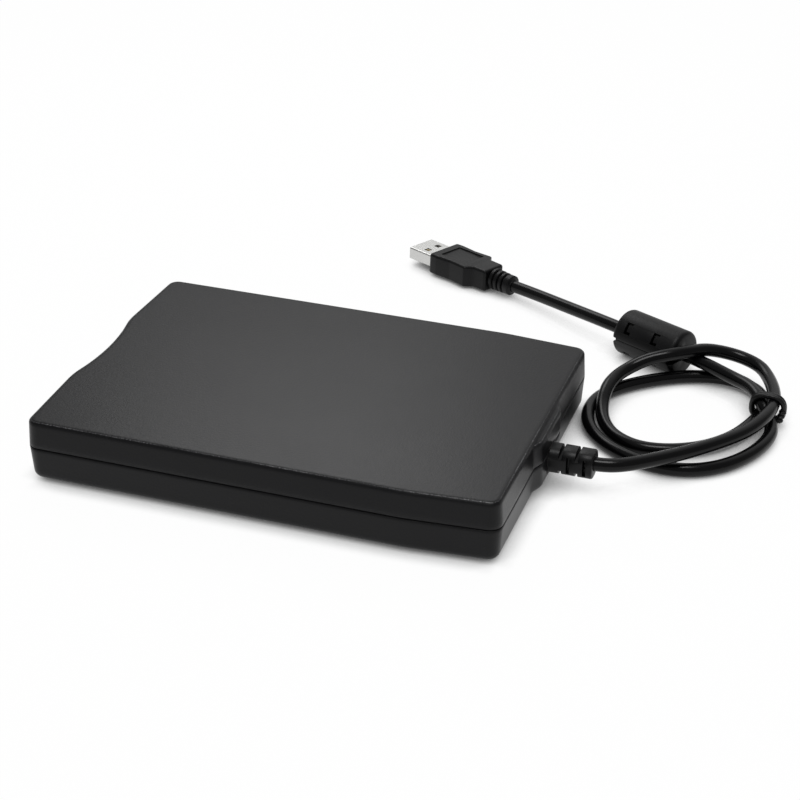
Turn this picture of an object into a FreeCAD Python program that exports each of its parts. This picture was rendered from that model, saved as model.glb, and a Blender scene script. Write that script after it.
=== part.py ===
"""External USB floppy disk drive: case, slim drive mechanism, boards and USB cable.

Millimetres. X runs to the right seen from the disk slot, Y from the slot to the cable,
Z up. The origin is under the middle of the case, on the surface that it stands on.
"""
import FreeCAD, Part
import math
import os

V = FreeCAD.Vector
X_AXIS, Y_AXIS, Z_AXIS = V(1, 0, 0), V(0, 1, 0), V(0, 0, 1)

# ---- The disk that the drive takes ---------------------------------------------------
disk_width = 90.0
disk_length = 94.0
disk_drop = 2.4              # how far the disk is lowered onto the spindle
disk_gap = 0.1               # between the seated disk's front edge and the bezel
bay_side_gap = 0.9           # beside the disk, each side

# ---- Sheet metal and fits --------------------------------------------------------------
sheet = 0.6                  # slide, carrier and small brackets
chassis_sheet = 0.8
slide_gap = 0.3              # between sliding sheets
pin_radius = 0.9
pin_fit = 0.05               # radial clearance of a pin in its slot
running_fit = 0.03           # radial clearance of a shaft in its bearing
seat_fit = 0.02              # clearance of a piece pressed or screwed into its seat

# ---- Case ------------------------------------------------------------------------------
wall = 1.8
roof = 1.6
draft = 0.5                  # each side wall leans in by this from parting line to roof
foot_draft = 0.75            # and by this from parting line to floor
case_side_gap = 1.15         # between the chassis and the case wall
post_height = 1.6            # chassis posts on the case floor
roof_gap = 2.3               # between the mechanism and the roof
scallop_depth = 2.25         # the finger hollow in the middle of the front
scallop_radius = 80.0
shoulder_radius = 26.6
front_sweep = 1.9            # degrees that the front falls back towards its corners
corner_radius = 4.0
tail_taper = 2.25            # each side pulls in by this towards the rear
tail_taper_length = 27.7
tail_bend_radius = 60.0
roof_edge_radius = 1.2
floor_edge_radius = 2.6
boss_reach = 1.55            # the cable boss stands out of the rear wall by this
boss_half_width = 10.0
boss_flank = 4.0
boss_edge_radius = 1.2
groove = 0.45                # the shadow gap between the two shells
groove_depth = 0.9
tongue_height = 1.0

# ---- Feet ------------------------------------------------------------------------------
foot_radius = 4.0
foot_stand = 0.8             # the feet lift the case by this
foot_pocket = 0.4
foot_inset_x = 10.0
foot_inset_y = 13.0

# ---- Front bezel, flap, button and lamp ------------------------------------------------
bezel_depth = 4.65           # from the case's front shoulders back to the mechanism
bezel_recess = 0.35
bezel_fit = 0.2
slot_height = 5.0
slot_above_floor = 5.4       # underside of the slot above the mechanism's underside
slot_side_gap = 0.2
slot_lead = 0.8              # chamfer round the slot
flap_thickness = 0.8
flap_lap = 0.5               # the closed flap covers the slot's edges by this
flap_pin_radius = 0.6
flap_spring_radius = 1.0
ear = 0.95                   # thickness of the ears that hold the flap's pins
button_width = 12.0
button_height = 2.6
button_centre = 36.0
button_fit = 0.25
eject_travel = 5.5
pipe_width = 3.0
pipe_height = 1.2

# ---- Mechanism -------------------------------------------------------------------------
mech_length = 125.6
mech_height = 12.6
chassis_wall_height = 10.0
slide_run_gap = 0.3          # under the slide
slide_length = 75.0
cam_height = 11.2            # carrier pins above the surface, disk raised
cam_front = 19.6             # the front carrier pins, from the mechanism's front
cam_spacing = 52.0
spindle_setback = 49.6
rotor_radius = 17.0
rotor_top = 7.3
hub_radius = 6.0
hub_height = 0.5
shaft_radius = 1.5
shaft_top = 9.3
drive_pin_radius = 1.2
drive_pin_circle = 10.0
drive_pin_height = 1.3
track0_radius = 39.5
head_travel = 14.8
medium_height = 8.8          # where the lowered disk's medium runs
guide_radius = 0.8
guide_height = 6.2
guide_half_spacing = 12.5
arm_pivot_height = 11.0
arm_pin_radius = 0.8
arm_lift = 12.0              # degrees that the upper head is held up with no disk in
screw_radius = 1.5
screw_journal_radius = 0.8
screw_offset = 19.0
screw_height = 9.4
stepper_radius = 5.0
stepper_length = 9.0
lever_pivot = (-38.0, 99.6)  # across, and back from the mechanism's front
lever_stud_radius = 1.4
lever_length = 22.0
lever_rest_angle = -55.0
sensor_flange_gap = 6.8      # from a sensor's middle to the slide's flange
spring_flange_gap = 6.8      # from a slide spring's middle to the slide's flange
spring_tab_half = 1.2
spring_hook_offset = 0.8
sensor_setback = 16.6
sensor_travel = 1.3
sensor_pin_radius = 0.8

# ---- USB board -------------------------------------------------------------------------
board = 1.0
board_bay = 14.4             # room behind the mechanism
control_board_rod_gap = 5.0  # beside the guide rod's middle
control_board_side_gap = 1.7  # beside the chassis wall
control_board_lever_gap = 4.4  # behind the latch lever's pivot
usb_board_depth = 12.0
usb_board_width = 64.0
post_radius = 3.0
pilot_radius = 0.8           # screw holes in the chassis posts and board posts
chassis_screw_half_spacing = 33.0
board_post_radius = 2.2
board_post_half_spacing = 22.0
board_post_setback = 6.5     # from the rear wall's inside
case_screw_radius = 1.3
case_screw_head_radius = 2.7
case_screw_half_spacing = 42.0
case_screw_setback = 6.6     # from the rear wall's inside

# ---- Cable -----------------------------------------------------------------------------
cable_radius = 2.15
relief_width = 8.6
relief_height = 8.5
relief_length = 13.45
relief_axis_height = 8.6
relief_collar = 1.0
relief_slot = 1.0
relief_slot_depth = 2.1
ferrite_radius = 7.7
ferrite_length = 24.6
ferrite_seam = 0.2
ferrite_wall = 1.3
latch_inner = 4.5            # the clips stand this far from the ferrite's axis
latch_outer = 5.4
latch_window_bottom = 2.6
latch_window_top = 5.6
tie_thickness = 1.0
tie_width = 4.5
plug_width = 15.2
plug_height = 8.0
plug_nose_height = 6.6       # the grip is this thick at its front
plug_length = 20.5
boot_length = 14.0
plug_roll = 3.0              # degrees that the plug lies over on one edge
usb_tip_width = 12.0
usb_tip_height = 4.5
usb_tip_length = 11.2
usb_tip_wall = 0.35

# ---- Heights and stations that follow ---------------------------------------------------
floor_top = foot_stand + roof
mech_bottom = floor_top + post_height
chassis_top = mech_bottom + chassis_sheet
mech_top = mech_bottom + mech_height
case_height = mech_top + roof_gap + roof
parting = mech_bottom + 7.85
slot_bottom = mech_bottom + slot_above_floor
slot_top = slot_bottom + slot_height

case_length = bezel_depth + mech_length + board_bay + draft + wall + boss_reach
front_y = -case_length / 2
boss_y = case_length / 2
rear_y = boss_y - boss_reach
mech_front = front_y + bezel_depth
mech_rear = mech_front + mech_length
rear_inner_y = rear_y - wall - draft
spindle_y = mech_front + spindle_setback
head_y = spindle_y + track0_radius
disk_stop_y = mech_front + disk_gap + disk_length

carrier_inner = disk_width / 2 + bay_side_gap
carrier_outer = carrier_inner + sheet
flange_inner = carrier_outer + slide_gap
flange_outer = flange_inner + sheet
sensor_half_spacing = flange_inner - sensor_flange_gap
spring_half_spacing = flange_inner - spring_flange_gap
chassis_inner = flange_outer + slide_gap
chassis_outer = chassis_inner + sheet
opening_half = chassis_outer + bezel_fit
cavity_half = chassis_outer + case_side_gap
case_half = cavity_half + draft + wall

slide_bottom = chassis_top + slide_run_gap
rail_top = slot_bottom + 0.1
carrier_plate = slot_top - 0.2
flap_axis_y = mech_front + flap_spring_radius + 0.1
flap_axis_z = slot_top + flap_lap
pivot_y = head_y + 26.5


# ---- Small helpers -----------------------------------------------------------------------
def box(x0, x1, y0, y1, z0, z1):
    """A block between two opposite corners."""
    return Part.makeBox(x1 - x0, y1 - y0, z1 - z0, V(x0, y0, z0))


def wide(half, y0, y1, z0, z1):
    """A block centred on X = 0."""
    return box(-half, half, y0, y1, z0, z1)


def rod(radius, start, end):
    """A round bar between two points."""
    return Part.makeCylinder(radius, (end - start).Length, start, end - start)


def mirrored(shape):
    """The shape's twin on the other side of the drive."""
    return shape.mirror(V(0, 0, 0), X_AXIS)


def both_sides(shape):
    """The shape and its twin, as separate solids."""
    return Part.makeCompound([shape, mirrored(shape)])


def joined(shapes):
    """One solid from touching or overlapping shapes."""
    return shapes[0].multiFuse(shapes[1:]).removeSplitter()


def save(name, shape):
    """Write one node's STEP file."""
    shape.exportStep("parts/" + name + ".step")


def rounded_outline(corners, z=0.0):
    """Closed wire through (x, y, radius) corners, each rounded by a tangent arc."""
    stretches = []
    for i, (x, y, radius) in enumerate(corners):
        corner = V(x, y, z)
        back = (V(corners[i - 1][0], corners[i - 1][1], z) - corner).normalize()
        ahead_corner = corners[(i + 1) % len(corners)]
        ahead = (V(ahead_corner[0], ahead_corner[1], z) - corner).normalize()
        if radius == 0:
            stretches.append((corner, corner, None))
            continue
        half_angle = back.getAngle(ahead) / 2
        reach = radius / math.tan(half_angle)
        crown = radius / math.sin(half_angle) - radius
        start, end = corner + back * reach, corner + ahead * reach
        middle = corner + (back + ahead).normalize() * crown
        stretches.append((start, end, Part.Arc(start, middle, end).toShape()))
    edges = []
    for i, (start, end, arc) in enumerate(stretches):
        if arc:
            edges.append(arc)
        following = stretches[(i + 1) % len(stretches)][0]
        if end.distanceToPoint(following) > 1e-6:
            edges.append(Part.LineSegment(end, following).toShape())
    return Part.Wire(edges)


def prism(corners, z0, z1):
    """A rounded outline extruded from one height to another."""
    return Part.Face(rounded_outline(corners, z0)).extrude(V(0, 0, z1 - z0))


def obround(y0, z0, y1, z1, radius, x0, x1):
    """A slot cutter along X, from one pin position in the Y-Z plane to another."""
    along = V(0, y1 - y0, z1 - z0)
    side = X_AXIS.cross(along).normalize() * radius
    a, b = V(x0, y0, z0), V(x0, y1, z1)
    straight = Part.makePolygon([a + side, b + side, b - side, a - side, a + side])
    bar = Part.Face(straight).extrude(V(x1 - x0, 0, 0))
    ends = [Part.makeCylinder(radius, x1 - x0, p, X_AXIS) for p in (a, b)]
    return bar.multiFuse(ends)


# ---- Case ------------------------------------------------------------------------------
def case_outline(inset, z):
    """Plan outline of the case, drawn inside its widest line by inset."""
    sweep = math.radians(front_sweep)
    turn = math.acos(1 - scallop_depth / (scallop_radius + shoulder_radius))
    hollow_y = front_y + scallop_depth + scallop_radius * (1 / math.cos(turn) - 1)
    shoulder_x = (scallop_radius + shoulder_radius) * math.sin(turn)
    shoulder_y = front_y + shoulder_radius
    lean = (sweep - turn) / 2
    reach = shoulder_radius / math.cos((sweep + turn) / 2)
    shoulder = (shoulder_x + reach * math.sin(lean), shoulder_y - reach * math.cos(lean))
    corner_y = shoulder[1] + (case_half - shoulder[0]) * math.tan(sweep)
    right = [
        (shoulder[0], shoulder[1], shoulder_radius),
        (case_half, corner_y, corner_radius),
        (case_half, rear_y - tail_taper_length, tail_bend_radius),
        (case_half - tail_taper, rear_y, corner_radius),
    ]
    left = [(-x, y, radius) for x, y, radius in reversed(right)]
    outline = rounded_outline([(0, hollow_y, scallop_radius)] + right + left, z)
    return outline.makeOffset2D(-inset) if inset else outline


def case_body():
    """The closed outer form of both shells together, with the cable boss."""
    widest = case_outline(0, parting)
    top = case_outline(draft, case_height)
    bottom = case_outline(foot_draft, foot_stand)
    upper = Part.makeLoft([widest, top], True, True)
    lower = Part.makeLoft([bottom, widest], True, True)
    rim = [e for e in upper.Edges if e.BoundBox.ZMin > case_height - 0.01]
    base = [e for e in lower.Edges if e.BoundBox.ZMax < foot_stand + 0.01]
    upper = upper.makeFillet(roof_edge_radius, rim)
    lower = lower.makeFillet(floor_edge_radius, base)
    foot_of_flank = boss_half_width + 2 * boss_flank
    flank_y = boss_y - 2 * boss_reach
    root = rear_inner_y - 2
    boss = prism([
        (-foot_of_flank, root, 0), (foot_of_flank, root, 0), (foot_of_flank, flank_y, 0),
        (boss_half_width, boss_y, 4.0), (-boss_half_width, boss_y, 4.0),
        (-foot_of_flank, flank_y, 0),
    ], foot_stand + floor_edge_radius, case_height - roof_edge_radius)
    rims = [e for e in boss.Edges if e.BoundBox.ZLength < 0.01 and e.BoundBox.YMin > flank_y - 0.01]
    return upper.multiFuse([lower, boss.makeFillet(boss_edge_radius, rims)])


def case_cavity(z0, z1, inset):
    """The room inside an outline, from one height to another."""
    return Part.Face(case_outline(inset, z0)).extrude(V(0, 0, z1 - z0))


def case_openings():
    """What is cut from both shells: the mouth for the bezel and the cable outlet."""
    half_w, half_h = relief_width / 2 + seat_fit, relief_height / 2 + seat_fit
    mouth = wide(opening_half, front_y - 1, mech_front + 4, mech_bottom - 0.1,
                 mech_top + 0.2)
    outlet = wide(half_w, rear_inner_y - 3, boss_y + 1, relief_axis_height - half_h,
                  relief_axis_height + half_h)
    return mouth, outlet


def case_screw_places():
    """Plan positions of the two case screws."""
    y = rear_inner_y - case_screw_setback
    return [(-case_screw_half_spacing, y), (case_screw_half_spacing, y)]


def chassis_screw_places():
    """Plan positions of the four screws that hold the chassis."""
    x = chassis_screw_half_spacing
    return [(sx * x, y) for sx in (-1, 1) for y in (spindle_y - 22, spindle_y + 28)]


def board_post_places():
    """Plan positions of the two posts under the USB board."""
    y = rear_inner_y - board_post_setback
    return [(-board_post_half_spacing, y), (board_post_half_spacing, y)]


def foot_places():
    """Plan positions of the four feet."""
    x = case_half - foot_inset_x
    return [(sx * x, y) for sx in (-1, 1) for y in (front_y + foot_inset_y,
                                                    rear_y - foot_inset_y)]


def bottom_cover(body):
    """Lower shell: floor, walls with a tongue along the rim, posts and foot pockets."""
    cavity_inset = case_half - cavity_half
    rim = parting - groove / 2
    block = wide(case_half + 5, front_y - 5, boss_y + 5, 0, rim)
    shell = body.common(block).cut(case_cavity(floor_top, rim + 5, cavity_inset))
    tongue = case_cavity(rim - 1, rim + groove + tongue_height, groove_depth + 0.1)
    tongue = tongue.cut(case_cavity(rim - 2, rim + groove + tongue_height + 1, cavity_inset))
    posts = []
    for x, y in chassis_screw_places():
        posts.append(rod(post_radius, V(x, y, floor_top - 0.2), V(x, y, mech_bottom)))
    for x, y in case_screw_places():
        posts.append(rod(post_radius + 0.4, V(x, y, floor_top - 0.2), V(x, y, rim)))
    for x, y in board_post_places():
        posts.append(rod(board_post_radius, V(x, y, floor_top - 0.2),
                         V(x, y, usb_board_bottom())))
    shell = shell.multiFuse([tongue] + posts)
    cuts = list(case_openings())
    for x, y in chassis_screw_places():
        cuts.append(rod(pilot_radius, V(x, y, foot_stand + 0.6), V(x, y, mech_bottom + 1)))
    for x, y in case_screw_places():
        cuts.append(rod(case_screw_radius + 0.15, V(x, y, 0), V(x, y, rim + 1)))
        cuts.append(rod(case_screw_head_radius, V(x, y, 0), V(x, y, floor_top + 0.6)))
    for x, y in foot_places():
        cuts.append(rod(foot_radius + seat_fit, V(x, y, 0), V(x, y, foot_stand + foot_pocket)))
    for x, y in board_post_places():
        cuts.append(rod(pilot_radius, V(x, y, floor_top), V(x, y, usb_board_bottom() + 1)))
    return shell.cut(Part.makeCompound(cuts)).removeSplitter()


def top_cover(body):
    """Upper shell: roof, walls rebated for the tongue, and two screw posts."""
    cavity_inset = case_half - cavity_half
    rim = parting + groove / 2
    block = wide(case_half + 5, front_y - 5, boss_y + 5, rim, case_height + 1)
    shell = body.common(block).cut(case_cavity(rim - 5, case_height - roof, cavity_inset))
    shell = shell.cut(case_cavity(rim - 1, rim + tongue_height + 0.1, groove_depth + 0.05))
    posts = [rod(post_radius, V(x, y, rim), V(x, y, case_height - roof + 0.2))
             for x, y in case_screw_places()]
    cuts = list(case_openings())
    cuts += [rod(case_screw_radius + seat_fit, V(x, y, rim - 1), V(x, y, rim + 4.6))
             for x, y in case_screw_places()]
    return shell.multiFuse(posts).cut(Part.makeCompound(cuts)).removeSplitter()


def rubber_feet():
    """Four soft pads, each seated in a pocket of the floor."""
    pads = []
    for x, y in foot_places():
        pads.append(rod(foot_radius, V(x, y, 0), V(x, y, foot_stand + foot_pocket)))
    return Part.makeCompound(pads)


# ---- Front: bezel, flap, button and lamp -------------------------------------------------
def front_bezel():
    """The drive's own front plate, following the case's front, with slot and ears."""
    base, head = mech_bottom + 0.1, mech_top
    plate = case_cavity(base, head, bezel_recess)
    plate = plate.common(wide(chassis_outer, front_y - 1, mech_front, base, head))
    slot_half = disk_width / 2 + slot_side_gap
    slot = wide(slot_half, front_y - 1, mech_front + 1, slot_bottom, slot_top)
    mouth_y = front_y + 1.6
    lead = Part.makeLoft([
        Part.makePolygon([V(-w, y, slot_bottom - g), V(w, y, slot_bottom - g),
                          V(w, y, slot_top + g), V(-w, y, slot_top + g),
                          V(-w, y, slot_bottom - g)])
        for y, g, w in ((mouth_y - 2.4, slot_lead, slot_half + slot_lead),
                        (mouth_y, 0.0, slot_half))], True, True)
    half_w = button_width / 2 + button_fit
    button_z = button_bottom()
    button_hole = box(button_centre - half_w, button_centre + half_w, front_y - 1,
                      mech_front + 1, button_z - button_fit,
                      button_z + button_height + button_fit)
    pipe_z = pipe_bottom()
    pipe_hole = box(-button_centre - pipe_width / 2 - seat_fit,
                    -button_centre + pipe_width / 2 + seat_fit, front_y - 1, mech_front + 1,
                    pipe_z - seat_fit, pipe_z + pipe_height + seat_fit)
    plate = plate.cut(Part.makeCompound([slot, lead, button_hole, pipe_hole]))
    ear_half = disk_width / 2 + 1.05
    lug = box(ear_half, ear_half + ear, mech_front - 0.1, flap_axis_y + 1.3,
              flap_axis_z - 1.4, flap_axis_z + 1.3)
    bore = rod(flap_pin_radius + pin_fit, V(ear_half - 1, flap_axis_y, flap_axis_z),
               V(ear_half + ear + 1, flap_axis_y, flap_axis_z))
    lug = lug.cut(bore)
    return joined([plate, lug, mirrored(lug)])


def door_flap():
    """The hinged dust flap behind the slot, with its pins and a notch for the spring."""
    half = disk_width / 2 + slot_side_gap + flap_lap
    bottom = slot_bottom - flap_lap / 2
    plate = wide(half, flap_axis_y - flap_thickness / 2, flap_axis_y + flap_thickness / 2,
                 bottom, flap_axis_z)
    reach = disk_width / 2 + 1.05 + ear - 0.1
    pins = rod(flap_pin_radius, V(-reach, flap_axis_y, flap_axis_z),
               V(reach, flap_axis_y, flap_axis_z))
    notch = box(20, 26, flap_axis_y - 2, flap_axis_y + 2, flap_axis_z - 1.5, flap_axis_z + 2)
    return joined([plate.cut(notch), pins])


def door_spring():
    """The closing spring of the flap: a close-wound coil with two legs."""
    axis = lambda x: V(x, flap_axis_y, flap_axis_z)
    coil = rod(flap_spring_radius, axis(21), axis(25))
    coil = coil.cut(rod(flap_pin_radius + 0.05, axis(20), axis(26)))
    leg = box(21.1, 21.4, flap_axis_y + 0.6, flap_axis_y + 0.9, flap_axis_z - 4.0, flap_axis_z)
    return coil.fuse(leg)


def button_bottom():
    """Underside of the eject button, resting on the slide's front tab."""
    return slide_bottom + sheet + 0.05


def pipe_bottom():
    """Underside of the light pipe, clear above the slide's cross bar."""
    return slide_bottom + sheet + 0.5


def eject_button():
    """The push button, its face flush with the case front, seated on the slide's tab."""
    z = button_bottom()
    face_y = front_y + 0.1
    cap = box(button_centre - button_width / 2, button_centre + button_width / 2, face_y,
              slide_front() - 2.0, z, z + button_height)
    front = [e for e in cap.Edges if e.BoundBox.YMax < face_y + 0.01]
    cap = cap.makeFillet(0.5, front)
    ribs = [box(button_centre + dx - 0.2, button_centre + dx + 0.2, face_y - 1, face_y + 0.25,
                z + 0.6, z + button_height - 0.6) for dx in (-1.6, 0.0, 1.6)]
    return cap.cut(Part.makeCompound(ribs))


def led_light_pipe():
    """The clear bar that carries the lamp's light from the board to the front."""
    z = pipe_bottom()
    face_y = front_y + 1.2
    return box(-button_centre - pipe_width / 2, -button_centre + pipe_width / 2, face_y,
               board_front() - 0.1, z, z + pipe_height)


# ---- Chassis, slide and carrier ----------------------------------------------------------
def slide_front():
    """Front edge of the slide's cross bar."""
    return mech_front + 7.6


def board_front():
    """Front edge of the motor board."""
    return mech_front + sensor_setback - 3.0


def cam_places():
    """Stations of the carrier's pins along the drive."""
    front = mech_front + cam_front
    return [front, front + cam_spacing]


def spring_stations():
    """Front and rear ends of the slide's springs."""
    front = mech_front + 21.6
    return front, front + 17.0


def chassis():
    """Steel tray: floor, side walls with the carrier's guide slots, tabs and studs."""
    floor = wide(chassis_outer, mech_front, mech_rear, mech_bottom, chassis_top)
    side = box(chassis_inner, chassis_outer, mech_front, mech_rear, mech_bottom,
               mech_bottom + chassis_wall_height)
    front, _ = spring_stations()
    spring_tab = box(spring_half_spacing - spring_tab_half, spring_half_spacing + spring_tab_half,
                     front - sheet, front, chassis_top - 0.1, chassis_top + 2.0)
    rod_tabs = []
    for y in (head_y - 7.5, mech_rear - 4.0):
        tab = box(guide_half_spacing - 2, guide_half_spacing + 2, y, y + 1.2,
                  chassis_top - 0.1, guide_height + guide_radius)
        rod_tabs.append(tab.cut(rod(guide_radius + seat_fit,
                                    V(guide_half_spacing, y - 1, guide_height),
                                    V(guide_half_spacing, y + 3, guide_height))))
    right = [side, spring_tab] + rod_tabs
    screw_tab = box(screw_offset - 2.2, screw_offset + 2.2, disk_stop_y + 0.6,
                    disk_stop_y + 1.6, chassis_top - 0.1, screw_height + 2.4)
    screw_tab = screw_tab.cut(rod(screw_journal_radius + running_fit,
                                  V(screw_offset, 0, screw_height),
                                  V(screw_offset, disk_stop_y + 9, screw_height)))
    x, y = lever_pivot[0], mech_front + lever_pivot[1]
    stud = rod(lever_stud_radius, V(x, y, chassis_top - 0.1), V(x, y, rail_top + 2.7))
    tray = joined([floor, screw_tab, stud] + right + [mirrored(s) for s in right])
    cuts = [rod(pilot_radius + 0.2, V(px, py, 0), V(px, py, chassis_top + 1))
            for px, py in chassis_screw_places()]
    cuts.append(rod(bearing_radius() + seat_fit, V(0, spindle_y, 0),
                    V(0, spindle_y, chassis_top + 1)))
    for station in cam_places():
        cuts.append(obround(station, cam_height - disk_drop, station, cam_height,
                            pin_radius + pin_fit, -chassis_outer - 1, chassis_outer + 1))
    return tray.cut(Part.makeCompound(cuts)).removeSplitter()


def eject_slide():
    """The U-shaped slide: cross bar, button tab and two flanges with cam slots."""
    top = cam_height + 2.4
    bar_front = slide_front()
    bar = wide(flange_outer, bar_front, bar_front + 5.0, slide_bottom, slide_bottom + sheet)
    flange = box(flange_inner, flange_outer, bar_front + 1.0, bar_front + slide_length,
                 slide_bottom, top)
    for station in cam_places():
        flange = flange.cut(obround(station, cam_height, station + eject_travel,
                                    cam_height - disk_drop, pin_radius + pin_fit,
                                    flange_inner - 1, flange_outer + 1))
    _, rear = spring_stations()
    spring_tab = box(spring_half_spacing - spring_tab_half, flange_inner + 0.1, rear,
                     rear + sheet, slide_bottom, slide_bottom + 1.2)
    half = button_width / 2 - 1
    tongue = box(button_centre - half, button_centre + half, bar_front - 2.0, bar_front + 0.1,
                 slide_bottom, slide_bottom + sheet)
    upright = box(button_centre - half, button_centre + half, bar_front - 2.0,
                  bar_front - 1.4, slide_bottom, slide_bottom + 2.8)
    side = flange.fuse(spring_tab)
    return joined([bar, tongue, upright, side, mirrored(side)])


def slide_springs():
    """Two close-wound extension springs that pull the slide to the front."""
    front, rear = spring_stations()
    z = slide_bottom + 0.8
    x, hook_x = spring_half_spacing, spring_half_spacing + spring_hook_offset
    coil = rod(1.0, V(x, front + 1.5, z), V(x, rear - 1.5, z))
    coil = coil.cut(rod(0.6, V(x, front, z), V(x, rear, z)))
    hooks = [rod(0.2, V(hook_x, a, z), V(hook_x, b, z))
             for a, b in ((front + 0.1, front + 1.6), (rear - 1.6, rear - 0.1))]
    return both_sides(joined([coil] + hooks))


def disk_carrier():
    """The cradle that lowers the disk: top plate, sides, rails, stops and four pins."""
    y0, y1 = mech_front + 7.4, disk_stop_y + 2.4
    plate = wide(carrier_outer, y0, y1, carrier_plate, carrier_plate + sheet)
    window = wide(9.0, spindle_y + 18, y1 + 1, carrier_plate - 1, carrier_plate + 2)
    round_window = rod(14.0, V(0, spindle_y, carrier_plate - 1), V(0, spindle_y, 20))
    plate = plate.cut(window.fuse(round_window))
    flange = box(carrier_inner, carrier_outer, y0, y1, rail_top - sheet, carrier_plate + 0.1)
    rail = box(disk_width / 2 - 1.5, carrier_inner + 0.1, y0 + 2, y1, rail_top - sheet,
               rail_top)
    stop = box(disk_width / 2 - 1.5, carrier_inner + 0.1, disk_stop_y, disk_stop_y + sheet,
               rail_top - 0.1, rail_top + 3.0)
    pins = [rod(pin_radius, V(carrier_outer - 0.3, y, cam_height),
                V(chassis_outer - 0.1, y, cam_height)) for y in cam_places()]
    side = joined([flange, rail, stop] + pins)
    return joined([plate, side, mirrored(side)])


def latch_lever():
    """The lever that the disk pushes round: it opens the shutter and trips the slide."""
    x, y = lever_pivot[0], mech_front + lever_pivot[1]
    z0, z1 = rail_top + 0.4, rail_top + 1.9
    a = math.radians(lever_rest_angle)
    tip = V(x + lever_length * math.cos(a), y + lever_length * math.sin(a), z0)
    side = V(-math.sin(a), math.cos(a), 0) * 1.5
    root = V(x, y, z0)
    arm = Part.Face(Part.makePolygon([root + side * 1.4, tip + side, tip - side,
                                      root - side * 1.4, root + side * 1.4]))
    arm = arm.extrude(V(0, 0, z1 - z0))
    boss = rod(2.6, root, V(x, y, z1 + 0.4))
    nose = rod(1.5, tip, tip + V(0, 0, z1 - z0))
    return joined([arm, boss, nose]).cut(rod(lever_stud_radius + pin_fit, V(x, y, 0), V(x, y, 20)))


def latch_spring():
    """The return spring under the latch lever, wound round its stud."""
    x, y = lever_pivot[0], mech_front + lever_pivot[1]
    coil = rod(lever_stud_radius + 0.7, V(x, y, chassis_top + 0.1), V(x, y, rail_top + 0.3))
    return coil.cut(rod(lever_stud_radius + 0.15, V(x, y, 0), V(x, y, 20)))


# ---- Spindle motor -------------------------------------------------------------------------
def bearing_radius():
    """Outside of the spindle's bearing, pressed into the chassis."""
    return shaft_radius + 2.0


def motor_board():
    """The steel-backed board under the motor, with arms for the lamp and sensors."""
    y0 = board_front()
    top = chassis_top + sheet
    bar = wide(44.0, y0, y0 + 6.0, chassis_top, top)
    stem = wide(22.0, y0 + 5, spindle_y + 18.4, chassis_top, top)
    hole = rod(bearing_radius() + 0.1, V(0, spindle_y, 0), V(0, spindle_y, 20))
    return joined([bar, stem]).cut(hole)


def stator_coils():
    """Nine flat motor coils on the board, round the spindle."""
    coils = []
    base = chassis_top + sheet
    for i in range(9):
        outer = prism([(8.2, -1.5, 0), (8.8, -2.1, 0), (13.0, -3.1, 0), (13.6, -2.5, 0),
                       (13.6, 2.5, 0), (13.0, 3.1, 0), (8.8, 2.1, 0), (8.2, 1.5, 0)],
                      base, base + 1.0)
        inner = prism([(9.8, -0.7, 0), (12.2, -1.3, 0), (12.2, 1.3, 0), (9.8, 0.7, 0)],
                      base - 1, base + 2)
        coil = outer.cut(inner)
        coil.rotate(V(0, 0, 0), Z_AXIS, 40 * i)
        coil.translate(V(0, spindle_y, 0))
        coils.append(coil)
    return Part.makeCompound(coils)


def spindle_bearing():
    """The bronze sleeve that the spindle turns in."""
    z0, z1 = mech_bottom + 0.2, rotor_top - 0.8
    sleeve = rod(bearing_radius(), V(0, spindle_y, z0), V(0, spindle_y, z1))
    return sleeve.cut(rod(shaft_radius + running_fit, V(0, spindle_y, 0),
                          V(0, spindle_y, 20)))


def spindle_rotor():
    """Rotor cup with rim, hub, centring shaft and drive pin in one turning piece."""
    at = lambda z: V(0, spindle_y, z)
    disc = rod(rotor_radius, at(rotor_top - 0.5), at(rotor_top))
    rim = rod(rotor_radius, at(rotor_top - 1.4), at(rotor_top - 0.4))
    rim = rim.cut(rod(rotor_radius - 0.8, at(0), at(20)))
    hub = rod(hub_radius, at(rotor_top - 0.1), at(rotor_top + hub_height))
    shaft = rod(shaft_radius, at(mech_bottom + 0.3), at(shaft_top))
    tip = [e for e in shaft.Edges if e.BoundBox.ZMin > shaft_top - 0.01]
    shaft = shaft.makeChamfer(0.5, tip)
    pin = rod(drive_pin_radius, V(drive_pin_circle, spindle_y, rotor_top - 0.2),
              V(drive_pin_circle, spindle_y, rotor_top + drive_pin_height))
    return joined([disc, rim, hub, shaft, pin])


def rotor_magnet():
    """The ring magnet inside the rotor's rim."""
    at = lambda z: V(0, spindle_y, z)
    outer = rotor_radius - 0.8 - seat_fit
    ring = rod(outer, at(rotor_top - 1.3), at(rotor_top - 0.5))
    return ring.cut(rod(outer - 1.8, at(0), at(20)))


# ---- Heads ---------------------------------------------------------------------------------
def block_front():
    """Front of the carriage's tall rear block."""
    return head_y + 21.0


def guide_rods():
    """Two ground rods that the head carriage runs on."""
    y0, y1 = head_y - 7.5, mech_rear - 2.8
    bar = rod(guide_radius, V(guide_half_spacing, y0, guide_height),
              V(guide_half_spacing, y1, guide_height))
    return both_sides(bar)


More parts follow.
